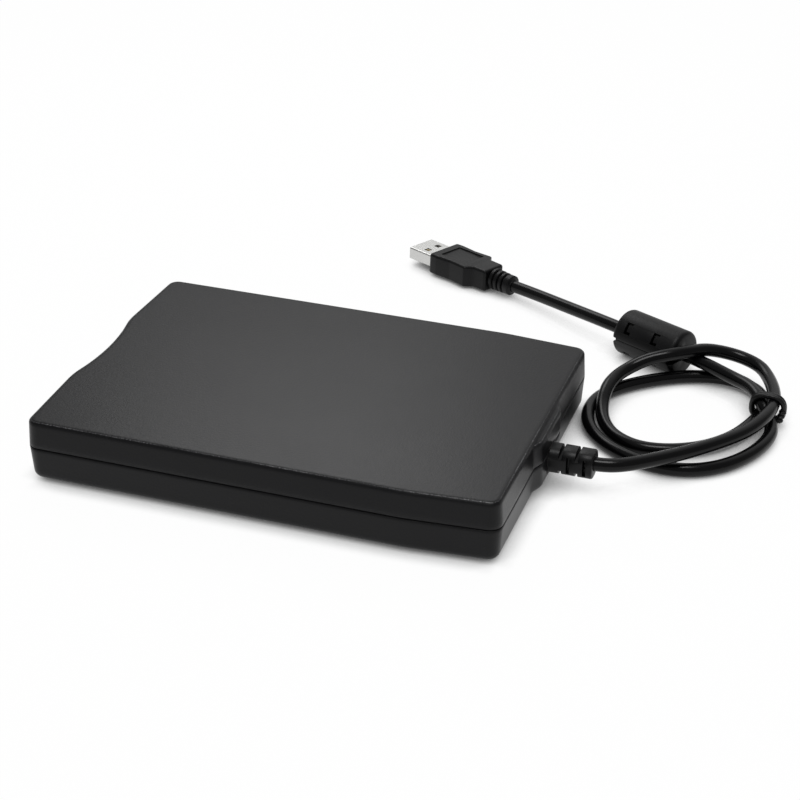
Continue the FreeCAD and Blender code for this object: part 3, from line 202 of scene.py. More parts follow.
@dataclass(frozen=True)
class Finish:
    """One material: what it is, how its surface was made and the sizes of its pattern.

    Args:
        name: Common name and how it was made.
        colour: sRGB hex colour.
        roughness: Shader roughness of the clean surface.
        grain: How the surface was made.
        grain_mm: Width of one grain, line or wire.
        relief_mm: Height of the grain.
        metallic: 1 for a metal.
        ior: Index of refraction for what isn't metal.
        specular: Specular level, lower where a rough skin shades itself.
        variation: Share by which the colour and the gloss drift over the piece.
        transmission: Share of light that passes.
        coat: Share of a clear skin over the surface.
        crown_mm: Width over which the skin rolls off at the edges.
        painted_highlight: Share of the painted highlight, a pale speckle along the upper
            shoulders.
    """

    name: str
    colour: str
    roughness: float
    grain: Grain
    grain_mm: float
    relief_mm: float
    metallic: float = 0.0
    ior: float = 1.5
    specular: float = 0.5
    variation: float = 0.12
    transmission: float = 0.0
    coat: float = 0.0
    crown_mm: float = 0.0
    painted_highlight: float = 0.0

    def height(self, tree: bpy.types.NodeTree, where: bpy.types.NodeSocket
               ) -> bpy.types.NodeSocket:
        """Draw the pattern of the surface as a height from 0 to 1.

        Args:
            tree: The material's node tree.
            where: Position on the piece, in metres.

        Returns:
            The socket that gives the height.
        """
        stretch = {Grain.BRUSHED: (1.0, 0.03, 1.0), Grain.TURNED: (0.05, 1.0, 0.05)}
        if self.grain in stretch:
            where = add_node(tree, "ShaderNodeMapping",
                             {"Vector": where, "Scale": stretch[self.grain]}).outputs["Vector"]
        if self.grain is Grain.WOUND:
            rings = add_node(tree, "ShaderNodeTexWave",
                             {"Vector": where, "Scale": WAVE_REPEAT / (self.grain_mm * MM),
                              "Distortion": 0.4}, wave_type="RINGS", rings_direction="Z")
            return rings.outputs["Fac"]
        if self.grain is Grain.BOARD:
            tracks = add_node(tree, "ShaderNodeTexVoronoi",
                              {"Vector": where, "Scale": 1 / (self.grain_mm * MM)},
                              distance="MANHATTAN", feature="F2")
            return tracks.outputs["Distance"]
        return noise(tree, where, 1 / (self.grain_mm * MM), 3.0, 0.6)

    def paint_shoulder_highlight(self, tree: bpy.types.NodeTree, where: bpy.types.NodeSocket,
             colour: bpy.types.NodeSocket) -> bpy.types.NodeSocket:
        """Paint a pale highlight along the upper shoulders, in speckles.

        Args:
            tree: The material's node tree.
            where: Position on the piece, in metres.
            colour: The colour before the painted highlight.

        Returns:
            The socket that gives the colour with its painted highlight.
        """
        normal = add_node(tree, "ShaderNodeTexCoord").outputs["Normal"]
        upward = add_node(tree, "ShaderNodeSeparateXYZ", {"Vector": normal}).outputs["Z"]
        off = calc(tree, "ABSOLUTE", calc(tree, "SUBTRACT", upward, SHOULDER_UPWARD))
        highlight_share = ranged(tree, off, (0.0, SHOULDER_SPAN), (self.painted_highlight, 0.0))
        speck = noise(tree, where, 1 / (SPECK_WIDTH * MM), 3.0, 0.7)
        patch = noise(tree, where, 1 / (PATCH_WIDTH * MM), 2.0)
        for share in (ranged(tree, speck, SPECK_EDGE),
                      ranged(tree, patch, PATCH_EDGE, (PATCH_LEAST, 1.0))):
            highlight_share = calc(tree, "MULTIPLY", highlight_share, share)
        return add_node(tree, "ShaderNodeMix",
                        {0: highlight_share, 6: colour, 7: linear(PAINTED_HIGHLIGHT_COLOUR)},
                        data_type="RGBA").outputs[2]

    def material(self) -> bpy.types.Material:
        """Make the material, or give the one that was made before.

        Returns:
            The material.
        """
        known = bpy.data.materials.get(self.name)
        if known:
            return known
        made = bpy.data.materials.new(self.name)
        made.use_nodes = True
        tree = made.node_tree
        tree.nodes.clear()
        where = add_node(tree, "ShaderNodeTexCoord").outputs["Object"]
        height = self.height(tree, where)
        drift = calc(tree, "MULTIPLY", noise(tree, where, DRIFT_SCALE, 4.0, 0.55),
                     1 - GRAIN_SHARE)
        drift = calc(tree, "MULTIPLY_ADD", height, GRAIN_SHARE, drift)
        base = Vector(linear(self.colour)[:3])
        low = (*(base * (1 - self.variation)), 1.0)
        high = (*(base * (1 + self.variation)), 1.0)
        tint = add_node(tree, "ShaderNodeMix", {0: drift, 6: low, 7: high},
                        data_type="RGBA").outputs[2]
        # painted highlight: pale speckles along the upper shoulders
        if self.painted_highlight:
            tint = self.paint_shoulder_highlight(tree, where, tint)
        spread = min(GLOSS_DRIFT * self.variation, GLOSS_DRIFT_MOST)
        rough = ranged(tree, drift, GLOSS_EDGE, (self.roughness * (1 - spread),
                                                 min(self.roughness * (1 + spread), 1.0)))
        bump = add_node(tree, "ShaderNodeBump",
                        {"Height": height, "Strength": BUMP_STRENGTH,
                         "Distance": self.relief_mm * MM})
        if self.crown_mm:
            crown = add_node(tree, "ShaderNodeBevel", {"Radius": self.crown_mm * MM},
                             samples=6)
            tree.links.new(crown.outputs["Normal"], bump.inputs["Normal"])
        shader = add_node(tree, "ShaderNodeBsdfPrincipled",
                          {"Base Color": tint, "Roughness": rough,
                           "Metallic": self.metallic, "IOR": self.ior,
                           "Specular IOR Level": self.specular,
                           "Transmission Weight": self.transmission,
                           "Coat Weight": self.coat, "Coat Roughness": COAT_ROUGHNESS,
                           "Normal": bump.outputs["Normal"]})
        add_node(tree, "ShaderNodeOutputMaterial", {"Surface": shader.outputs["BSDF"]})
        return made


# Black ABS from a spark-eroded mould: a fine satin grain that greys where light skims it,
# with a painted highlight in pale speckles along the upper shoulders. The grain is drawn at
# 0.7 mm, about twice its real width, because it would be too fine to show.
SHELL_ABS = Finish("abs_spark_eroded_satin", "#0d0d0f", 0.34, Grain.ERODED, 0.7, 0.075,
                   specular=0.18, variation=0.05, crown_mm=1.8, painted_highlight=0.75)
# The bezel comes from another mould, a little smoother, so it reads slightly darker.
BEZEL_ABS = Finish("abs_moulded_fine_satin", "#101012", 0.42, Grain.ERODED, 0.36, 0.015,
                   specular=0.28)
# Button in polished ABS: a clearer gloss than the shells around it.
BUTTON_ABS = Finish("abs_moulded_semi_gloss", "#0f0f11", 0.3, Grain.SMOOTH, 0.9, 0.004,
                    specular=0.4)
# Extruded PVC jacket: a wet-looking line along each bend, slightly wavy from the die.
JACKET_PVC = Finish("pvc_extruded_semi_gloss", "#060607", 0.23, Grain.SMOOTH, 2.6, 0.02,
                    specular=0.18, variation=0.08)
# Soft PVC moulded over the cable ends: matt, with a faint orange-peel skin.
MOULD_PVC = Finish("pvc_moulded_soft_matt", "#0b0b0c", 0.4, Grain.ERODED, 0.5, 0.018,
                   specular=0.2)
# ABS of the ferrite's case from a fine mould: matt, with soft lights on its round side.
CLAMP_ABS = Finish("abs_moulded_fine_matt", "#0b0b0c", 0.45, Grain.ERODED, 0.4, 0.02,
                   specular=0.2)
# Soft PVC drawn over the tie's wire: a low, uneven gloss that breaks over its ripples.
TIE_PVC = Finish("pvc_drawn_tie_sleeve", "#0c0c0d", 0.42, Grain.SMOOTH, 1.1, 0.05,
                 specular=0.3)
# Nickel over drawn steel: near white and satin, with faint draw lines along the plug. The
# lines are drawn at 0.3 mm, coarser than real ones, so that they show.
NICKEL = Finish("nickel_satin_plated_steel", "#cfcfcd", 0.38, Grain.BRUSHED, 0.3, 0.002,
                metallic=1.0, variation=0.05)
# Gold flash over the plug's contacts: four warm, bright lines on the white tongue.
GOLD = Finish("gold_flash_plated_contact", "#bfae86", 0.25, Grain.BRUSHED, 0.3, 0.002,
              metallic=1.0)
# Zinc-coated sheet: dull, cool grey, rolled along its length.
ZINC_SHEET = Finish("steel_zinc_coated_sheet", "#a9abab", 0.38, Grain.BRUSHED, 0.35, 0.006,
                    metallic=1.0, variation=0.1)
# Hard-drawn spring wire: oily bright, with fine die lines round it.
SPRING_WIRE = Finish("steel_hard_drawn_wire", "#9a9a98", 0.28, Grain.TURNED, 0.2, 0.002,
                     metallic=1.0)
# Ground and polished rods: one sharp light along each.
GROUND_STEEL = Finish("steel_ground_bright", "#c2c2c0", 0.16, Grain.TURNED, 0.15, 0.001,
                      metallic=1.0, variation=0.04)
# Pressed and nickel-plated steel cans: a soft grey gloss that fans out round the axis.
MOTOR_CAN = Finish("steel_pressed_nickel_can", "#8f908e", 0.33, Grain.TURNED, 0.3, 0.003,
                   metallic=1.0)
# Sintered bronze bush: oil-dark and slightly porous.
BRONZE = Finish("bronze_sintered_bush", "#8c6a3c", 0.45, Grain.CAST, 0.25, 0.01, metallic=1.0)
# Enamelled copper winding: ridges a wire apart that glint under clear enamel.
COPPER = Finish("copper_enamelled_winding", "#b06a35", 0.35, Grain.WOUND, 0.35, 0.08,
                metallic=1.0, coat=0.4)
# Green solder resist over etched copper: paler and darker fields where the tracks run.
BOARD_RESIST = Finish("glass_epoxy_green_resist", "#1d5a33", 0.32, Grain.BOARD, 2.2, 0.03,
                      variation=0.3, coat=0.3)
# Moulded epoxy of the chips and the boards' dark parts: dull, with no clear light on it.
EPOXY = Finish("epoxy_moulded_matt", "#1e1e1e", 0.55, Grain.ERODED, 0.3, 0.012)
# Natural nylon of the lever, plungers and header: slightly yellow and waxy.
NYLON = Finish("nylon_moulded_natural", "#dcd8cb", 0.42, Grain.SMOOTH, 1.5, 0.01,
               variation=0.05)
# Glass-filled resin of the head carriage: dark, with faint streaks of fibre.
CARRIAGE_RESIN = Finish("resin_glass_filled_moulded", "#242425", 0.48, Grain.BRUSHED, 0.5,
                        0.01)
# Lapped ceramic of the heads: dark and mirror-smooth.
HEAD_CERAMIC = Finish("ceramic_lapped_head", "#3a3733", 0.15, Grain.SMOOTH, 0.6, 0.001)
# Sintered ferrite: charcoal and faintly speckled.
FERRITE = Finish("ferrite_sintered_charcoal", "#2c2b2b", 0.5, Grain.CAST, 0.4, 0.015)
# Clear acrylic of the light pipe and lamp: polished faces, a faint green in the depth.
ACRYLIC = Finish("acrylic_clear_moulded", "#e8efe4", 0.08, Grain.SMOOTH, 2.0, 0.001,
                 ior=1.49, transmission=0.85, variation=0.02)
# Black rubber of the feet: dusty and matt.
RUBBER = Finish("rubber_moulded_matt", "#202020", 0.75, Grain.ERODED, 0.5, 0.03,
                specular=0.3)
# Black zinc over steel: the case screws, dark with a weak gloss.
BLACK_SCREW = Finish("steel_black_zinc_screw", "#3b3b3d", 0.35, Grain.TURNED, 0.25, 0.003,
                     metallic=1.0)
# Bright zinc over steel: the inner screws and the chips' leads.
BRIGHT_SCREW = Finish("steel_bright_zinc_screw", "#b5b6b3", 0.3, Grain.TURNED, 0.25, 0.003,
                      metallic=1.0)
# Laminated polyester of the flat cable: off-white and glossy, ribbed a conductor apart.
FLAT_CABLE = Finish("polyester_laminated_ribbon", "#cfd2cf", 0.3, Grain.BRUSHED, 0.9, 0.02)
# White polyester of the plug's tongue: plain and smooth.
INSULATOR = Finish("polyester_moulded_white", "#dfdfdb", 0.35, Grain.SMOOTH, 1.0, 0.004,
                   variation=0.04)

NODE_FINISHES: dict[str, Finish] = {
    "bottom_cover": SHELL_ABS, "top_cover": SHELL_ABS, "rubber_feet": RUBBER,
    "front_bezel": BEZEL_ABS, "door_flap": BEZEL_ABS, "door_spring": SPRING_WIRE,
    "eject_button": BUTTON_ABS, "led_light_pipe": ACRYLIC, "chassis": ZINC_SHEET,
    "eject_slide": ZINC_SHEET, "slide_springs": SPRING_WIRE, "disk_carrier": ZINC_SHEET,
    "latch_lever": NYLON, "latch_spring": SPRING_WIRE, "motor_board": BOARD_RESIST,
    "stator_coils": COPPER, "spindle_bearing": BRONZE, "spindle_rotor": MOTOR_CAN,
    "rotor_magnet": FERRITE, "guide_rods": GROUND_STEEL, "head_carriage": CARRIAGE_RESIN,
    "lower_head": HEAD_CERAMIC, "upper_head_arm": CARRIAGE_RESIN, "upper_head": HEAD_CERAMIC,
    "arm_pivot_pin": GROUND_STEEL, "lead_screw": GROUND_STEEL, "stepper_motor": MOTOR_CAN,
    "control_board": BOARD_RESIST, "control_parts": EPOXY, "sensor_switches": EPOXY,
    "disk_sensor_pin": NYLON, "write_protect_pin": NYLON, "lamp": ACRYLIC,
    "usb_board": BOARD_RESIST, "usb_board_parts": EPOXY, "cable_header": NYLON,
    "flat_cable": FLAT_CABLE, "strain_relief": MOULD_PVC, "cable_lead": JACKET_PVC,
    "cable_coil": JACKET_PVC, "cable_tail": JACKET_PVC, "cable_tie": TIE_PVC,
    "ferrite_lower_case": CLAMP_ABS, "ferrite_upper_case": CLAMP_ABS,
    "ferrite_lower_core": FERRITE, "ferrite_upper_core": FERRITE,
    "plug_overmold": MOULD_PVC, "plug_shell": NICKEL, "plug_tongue": INSULATOR,
    "plug_contacts": GOLD,
}


def dress_nodes() -> None:
    """Give each carried-over node its finish."""
    for name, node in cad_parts.items():
        node.data.materials.clear()
        node.data.materials.append(NODE_FINISHES[name].material())


# ---- Mesh helpers ----------------------------------------------------------------------


def new_piece(name: str, mesh: bmesh.types.BMesh, finish: Finish, body: str,
              crease: float = 35.0) -> bpy.types.Object:
    """Turn a finished mesh into a piece that rides on a body.

    Args:
        name: The piece's name.
        mesh: Its geometry in metres; it is freed here.
        finish: Its material.
        body: The body that it rides on.
        crease: Edges sharper than this many degrees stay sharp.

    Returns:
        The new object.
    """
    bmesh.ops.recalc_face_normals(mesh, faces=mesh.faces[:])
    data = bpy.data.meshes.new(name)
    limit = math.radians(crease)
    for edge in mesh.edges:
        edge.smooth = len(edge.link_faces) < 2 or edge.calc_face_angle(0.0) < limit
    for face in mesh.faces:
        face.smooth = True
    mesh.to_mesh(data)
    mesh.free()
    data.materials.append(finish.material())
    piece = bpy.data.objects.new(name, data)
    bpy.context.scene.collection.objects.link(piece)
    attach(piece, body)
    return piece


def skin(mesh: bmesh.types.BMesh, rings: Sequence[Sequence[bmesh.types.BMVert]]) -> None:
    """Join rings of vertices into one closed skin.

    Args:
        mesh: The mesh that gets the faces.
        rings: The rings in order, all with as many vertices; the first and last are capped.
    """
    count = len(rings[0])
    for first, second in zip(rings, rings[1:]):
        for k in range(count):
            after = (k + 1) % count
            mesh.faces.new((first[k], first[after], second[after], second[k]))
    for ring in (rings[0], rings[-1]):
        mesh.faces.new(ring)


def sweep(mesh: bmesh.types.BMesh, path: Sequence[Vector], radius: float,
          sides: int = 10) -> None:
    """Draw a round bar along a path, with flat ends.

    Args:
        mesh: The mesh that gets the bar.
        path: Points along the middle of the bar, in metres.
        radius: Radius in metres.
        sides: Number of flats round the bar.
    """
    turn = Vector((0.0, 0.0, 1.0))
    rings: list[list[bmesh.types.BMVert]] = []
    last = len(path) - 1
    for i, point in enumerate(path):
        ahead = (path[min(i + 1, last)] - path[max(i - 1, 0)]).normalized()
        if abs(ahead.dot(turn)) > 0.95:
            turn = Vector((1.0, 0.0, 0.0))
        turn = (turn - ahead * turn.dot(ahead)).normalized()
        side = ahead.cross(turn)
        ring = []
        for k in range(sides):
            angle = 2 * math.pi * k / sides
            ring.append(mesh.verts.new(
                point + (turn * math.cos(angle) + side * math.sin(angle)) * radius))
        rings.append(ring)
    skin(mesh, rings)


def helix(start: Vector, axis: Vector, across: Vector, radius: float, length: float,
          turns: float, steps_per_turn: int = 16) -> list[Vector]:
    """Points along a helix.

    Args:
        start: Middle of its first end.
        axis: Unit vector along it.
        across: Unit vector from the axis to the first point.
        radius: Radius of the middle of the wire.
        length: Length along the axis.
        turns: Number of turns.
        steps_per_turn: Points in each turn.

    Returns:
        The points, in the units given.
    """
    count = int(turns * steps_per_turn)
    side = axis.cross(across)
    points = []
    for i in range(count + 1):
        angle = 2 * math.pi * turns * i / count
        points.append(start + axis * (length * i / count)
                      + (across * math.cos(angle) + side * math.sin(angle)) * radius)
    return points


def loft(mesh: bmesh.types.BMesh, stations: Sequence[Sequence[float]], steps: int = 9) -> None:
    """Draw a body along +Y through rounded rectangles, in millimetres.

    Args:
        mesh: The mesh that gets the body.
        stations: For each section its Y, half width, half height, corner radius and the
            height of its middle. A radius equal to both halves gives a circle.
        steps: Points on each rounded corner.
    """
    rings: list[list[bmesh.types.BMVert]] = []
    for y, half_w, half_h, radius, middle in stations:
        corner = min(radius, half_w, half_h)
        ring = []
        for quarter, (side, up) in enumerate(((1, 1), (-1, 1), (-1, -1), (1, -1))):
            for k in range(steps):
                angle = math.pi / 2 * (quarter + k / (steps - 1))
                ring.append(mesh.verts.new((
                    side * (half_w - corner) + corner * math.cos(angle), y,
                    middle + up * (half_h - corner) + corner * math.sin(angle))))
        rings.append(ring)
    skin(mesh, rings)


def block(mesh: bmesh.types.BMesh, low: Point, high: Point, round_mm: float = 0.0,
          segments: int = 3) -> None:
    """Add a block with rounded edges, in millimetres.

    Args:
        mesh: The mesh that gets the block.
        low: Its lowest corner.
        high: Its highest corner.
        round_mm: Radius of its edges.
        segments: Steps in each rounded edge.
    """
    size = [b - a for a, b in zip(low, high)]
    middle = [(a + b) / 2 for a, b in zip(low, high)]
    made = bmesh.ops.create_cube(mesh, size=1.0, matrix=Matrix.Translation(middle)
                                 @ Matrix.Diagonal((*size, 1.0)))
    if round_mm:
        edges = list({edge for vert in made["verts"] for edge in vert.link_edges})
        bmesh.ops.bevel(mesh, geom=edges, offset=round_mm, segments=segments, profile=0.5,
                        affect="EDGES", clamp_overlap=True)


def turned(mesh: bmesh.types.BMesh, profile: Sequence[tuple[float, float]], at: Point,
           axis: str = "Z", sides: int = 32) -> None:
    """Draw a turned body, in millimetres.

    Args:
        mesh: The mesh that gets the body.
        profile: Stations along the axis and the radius at each.
        at: Where station 0 of the axis is.
        axis: Letter of the axis.
        sides: Number of flats round it.
    """
    order = {"X": (2, 0, 1), "Y": (1, 2, 0), "Z": (0, 1, 2)}[axis]
    rings = []
    for station, radius in profile:
        ring = []
        for k in range(sides):
            angle = 2 * math.pi * k / sides
            flat = (radius * math.cos(angle), radius * math.sin(angle), station)
            ring.append(mesh.verts.new([flat[order[i]] + at[i] for i in range(3)]))
        rings.append(ring)
    skin(mesh, rings)


def carve(mesh: bmesh.types.BMesh, cutter: bmesh.types.BMesh, soften: float = 0.0
          ) -> bmesh.types.BMesh:
    """Cut one closed mesh out of another and round the edges that are left.

    Args:
        mesh: The body; it is freed.
        cutter: What is cut away; it is freed.
        soften: Radius of the edges afterwards, in the meshes' unit.

    Returns:
        The carved body as a new mesh.
    """
    pair = []
    for name, source in (("body", mesh), ("cutter", cutter)):
        bmesh.ops.recalc_face_normals(source, faces=source.faces[:])
        data = bpy.data.meshes.new(name)
        source.to_mesh(data)
        source.free()
        made = bpy.data.objects.new(name, data)
        bpy.context.scene.collection.objects.link(made)
        pair.append(made)
    body, tool = pair
    cut = body.modifiers.new("cut", "BOOLEAN")
    cut.object = tool
    cut.solver = "EXACT"
    cut.use_self = True
    if soften:
        edge = body.modifiers.new("edge", "BEVEL")
        edge.width = soften
        edge.segments = 2
        edge.limit_method = "ANGLE"
        edge.angle_limit = math.radians(40)
    graph = bpy.context.evaluated_depsgraph_get()
    result = bmesh.new()
    result.from_mesh(body.evaluated_get(graph).to_mesh())
    for made in pair:
        data = made.data
        bpy.data.objects.remove(made)
        bpy.data.meshes.remove(data)
    return result


def move(mesh: bmesh.types.BMesh, origin: Point = (0.0, 0.0, 0.0), heading: float = 0.0,
         roll: float = 0.0, roll_height: float = 0.0) -> None:
    """Move a mesh from millimetres along +Y to its place in metres.

    Args:
        mesh: The mesh.
        origin: Where its own origin goes, in millimetres.
        heading: Turn about Z, in degrees.
        roll: Turn about its own length, in degrees.
        roll_height: Height of the line that it rolls about.
    """
    centre = Matrix.Translation((0.0, 0.0, roll_height))
    matrix = (Matrix.Scale(MM, 4) @ Matrix.Translation(origin)
              @ Matrix.Rotation(math.radians(heading), 4, "Z") @ centre
              @ Matrix.Rotation(math.radians(-roll), 4, "Y") @ centre.inverted())
    bmesh.ops.transform(mesh, matrix=matrix, verts=mesh.verts[:])


# ---- Camera, light and floor -----------------------------------------------------------


@dataclass
class Studio:
    """Camera, lights, world and floor.

    Args:
        eye: The camera's place, in millimetres.
        right: Unit vector to the right of the picture.
        down: Unit vector down the picture.
        forward: Unit vector along the view.
        lens: Focal length in millimetres.
        sensor: Width of the picture in the camera, in millimetres.
        glow_towards: Where the room's ceiling is brightest.
        glow_edge: Cosine of the angle from there at which its glow ends.
        room_light: Strength of the room outside the glow.
        glow_light: Strength in the middle of the glow.
        lamps: Name, place in metres, side in metres and watts of each soft lamp.
        lamp_aim: What the lamps point at, in metres.
        floor_reach: Half the side of the floor, in metres.
        floor_drop: How far it lies under the feet, in metres.
        painted_shadow_reach: Reach of the painted contact shadow where things touch the floor,
            in metres.
        painted_shadow_edge: Openness of the floor where the painted shadow is darkest and
            where it ends.
        painted_shadow_least: What is left of the floor's white in that painted shadow.
        floor_glow: Share of the floor that shows white to the camera and to mirrors.
    """

    eye: Point = (473.475, 189.0, 299.257)
    right: Point = (-0.3263767, 0.94523348, 0.00345115)
    down: Point = (0.46070534, 0.16226144, -0.87259488)
    forward: Point = (-0.82536588, -0.28320467, -0.48843246)
    lens: float = 85.3
    sensor: float = 36.0
    glow_towards: Point = (-0.77, 0.0, 0.64)
    glow_edge: float = 0.72
    room_light: float = 0.305
    glow_light: float = 1.02
    lamps: tuple[tuple[str, Point, float, float], ...] = (
        ("overhead_softbox", (0.15, 0.10, 1.0), 0.4, 4.9),
        ("far_softbox", (-0.33, -0.145, 0.345), 0.2, 0.41))
    lamp_aim: Point = (-0.03, 0.02, 0.0)
    floor_reach: float = 3.0
    floor_drop: float = 0.0002
    painted_shadow_reach: float = 0.01
    painted_shadow_edge: tuple[float, float] = (0.1, 0.75)
    painted_shadow_least: float = 0.05
    floor_glow: float = 0.97

    def camera(self) -> None:
        """Place the camera."""
        data = bpy.data.cameras.new("view")
        data.lens = self.lens
        data.sensor_width = self.sensor
        data.clip_start = 0.01
        camera = bpy.data.objects.new("view", data)
        axes = (Vector(self.right), -Vector(self.down), -Vector(self.forward))
        turn = Matrix([[axis[row] for axis in axes] for row in range(3)]).to_4x4()
        camera.matrix_world = Matrix.Translation(place(self.eye)) @ turn
        bpy.context.scene.collection.objects.link(camera)
        bpy.context.scene.camera = camera

    def seen_factor(self, tree: bpy.types.NodeTree) -> bpy.types.NodeSocket:
        """Tell the rays that show the background from the rays that light the object.

        Args:
            tree: The node tree that asks.

        Returns:
            A socket that is 1 for camera, glossy and transmission rays.
        """
        rays = add_node(tree, "ShaderNodeLightPath").outputs
        both = calc(tree, "MAXIMUM", rays["Is Camera Ray"], rays["Is Glossy Ray"])
        return calc(tree, "MAXIMUM", both, rays["Is Transmission Ray"])

    def world(self) -> None:
        """A white room whose ceiling is brightest over the far side of the object."""
        world = bpy.data.worlds.new("studio")
        world.use_nodes = True
        tree = world.node_tree
        tree.nodes.clear()
        where = add_node(tree, "ShaderNodeTexCoord").outputs["Generated"]
        towards = add_node(tree, "ShaderNodeVectorMath",
                           {0: where, 1: Vector(self.glow_towards).normalized()},
                           operation="DOT_PRODUCT")
        glow = ranged(tree, towards.outputs["Value"], (self.glow_edge, 1.0),
                      (self.room_light, self.glow_light))
        room = add_node(tree, "ShaderNodeBackground",
                        {"Color": (1, 1, 1, 1), "Strength": glow})
        backdrop = add_node(tree, "ShaderNodeBackground",
                            {"Color": (1, 1, 1, 1), "Strength": 1.0})
        rays = add_node(tree, "ShaderNodeLightPath").outputs
        mix = add_node(tree, "ShaderNodeMixShader",
                       {0: rays["Is Camera Ray"], 1: room.outputs[0],
                        2: backdrop.outputs[0]})
        add_node(tree, "ShaderNodeOutputWorld", {"Surface": mix.outputs[0]})
        bpy.context.scene.world = world

    def lamp(self, name: str, at: Point, size: float, power: float) -> None:
        """Hang one soft square lamp that points at the object.

        Args:
            name: The lamp's name.
            at: Its place in metres.
            size: Its side in metres.
            power: Its power in watts.
        """
        data = bpy.data.lights.new(name, "AREA")
        data.shape = "SQUARE"
        data.size = size
        data.energy = power
        lamp = bpy.data.objects.new(name, data)
        aim = Vector(self.lamp_aim) - Vector(at)
        lamp.matrix_world = (Matrix.Translation(Vector(at))
                             @ aim.to_track_quat("-Z", "Y").to_matrix().to_4x4())
        bpy.context.scene.collection.objects.link(lamp)

    def floor(self) -> None:
        """A white table top with a painted contact shadow, and a little of the object's real
        shadow.
        """
        mesh = bmesh.new()
        bmesh.ops.create_grid(mesh, x_segments=2, y_segments=2, size=self.floor_reach)
        data = bpy.data.meshes.new("table_top")
        mesh.to_mesh(data)
        mesh.free()
        made = bpy.data.materials.new("paper_white_matt_sweep")
        made.use_nodes = True
        tree = made.node_tree
        tree.nodes.clear()
        paper = add_node(tree, "ShaderNodeBsdfDiffuse", {"Color": linear("#f4f4f4")})
        # Painted contact shadow: occlusion dims the white glow that the camera sees where
        # things touch the floor.
        open_sky = add_node(tree, "ShaderNodeAmbientOcclusion",
                            {"Distance": self.painted_shadow_reach}, samples=8)
        painted_contact_shadow = ranged(tree, open_sky.outputs["AO"], self.painted_shadow_edge,
                         (self.painted_shadow_least, 1.0))
        glow = add_node(tree, "ShaderNodeEmission",
                        {"Color": (1, 1, 1, 1), "Strength": painted_contact_shadow})
        share = calc(tree, "MULTIPLY", self.seen_factor(tree), self.floor_glow)
        mix = add_node(tree, "ShaderNodeMixShader",
                       {0: share, 1: paper.outputs[0], 2: glow.outputs[0]})
        add_node(tree, "ShaderNodeOutputMaterial", {"Surface": mix.outputs[0]})
        data.materials.append(made)
        floor = bpy.data.objects.new("table_top", data)
        floor.location = (0.0, 0.0, -self.floor_drop)
        bpy.context.scene.collection.objects.link(floor)

    def build(self) -> None:
        """Set up the whole studio."""
        self.camera()
        self.world()
        for name, at, size, power in self.lamps:
            self.lamp(name, at, size, power)
        self.floor()
        bpy.context.scene.view_settings.view_transform = "Standard"


# ---- Cable -----------------------------------------------------------------------------


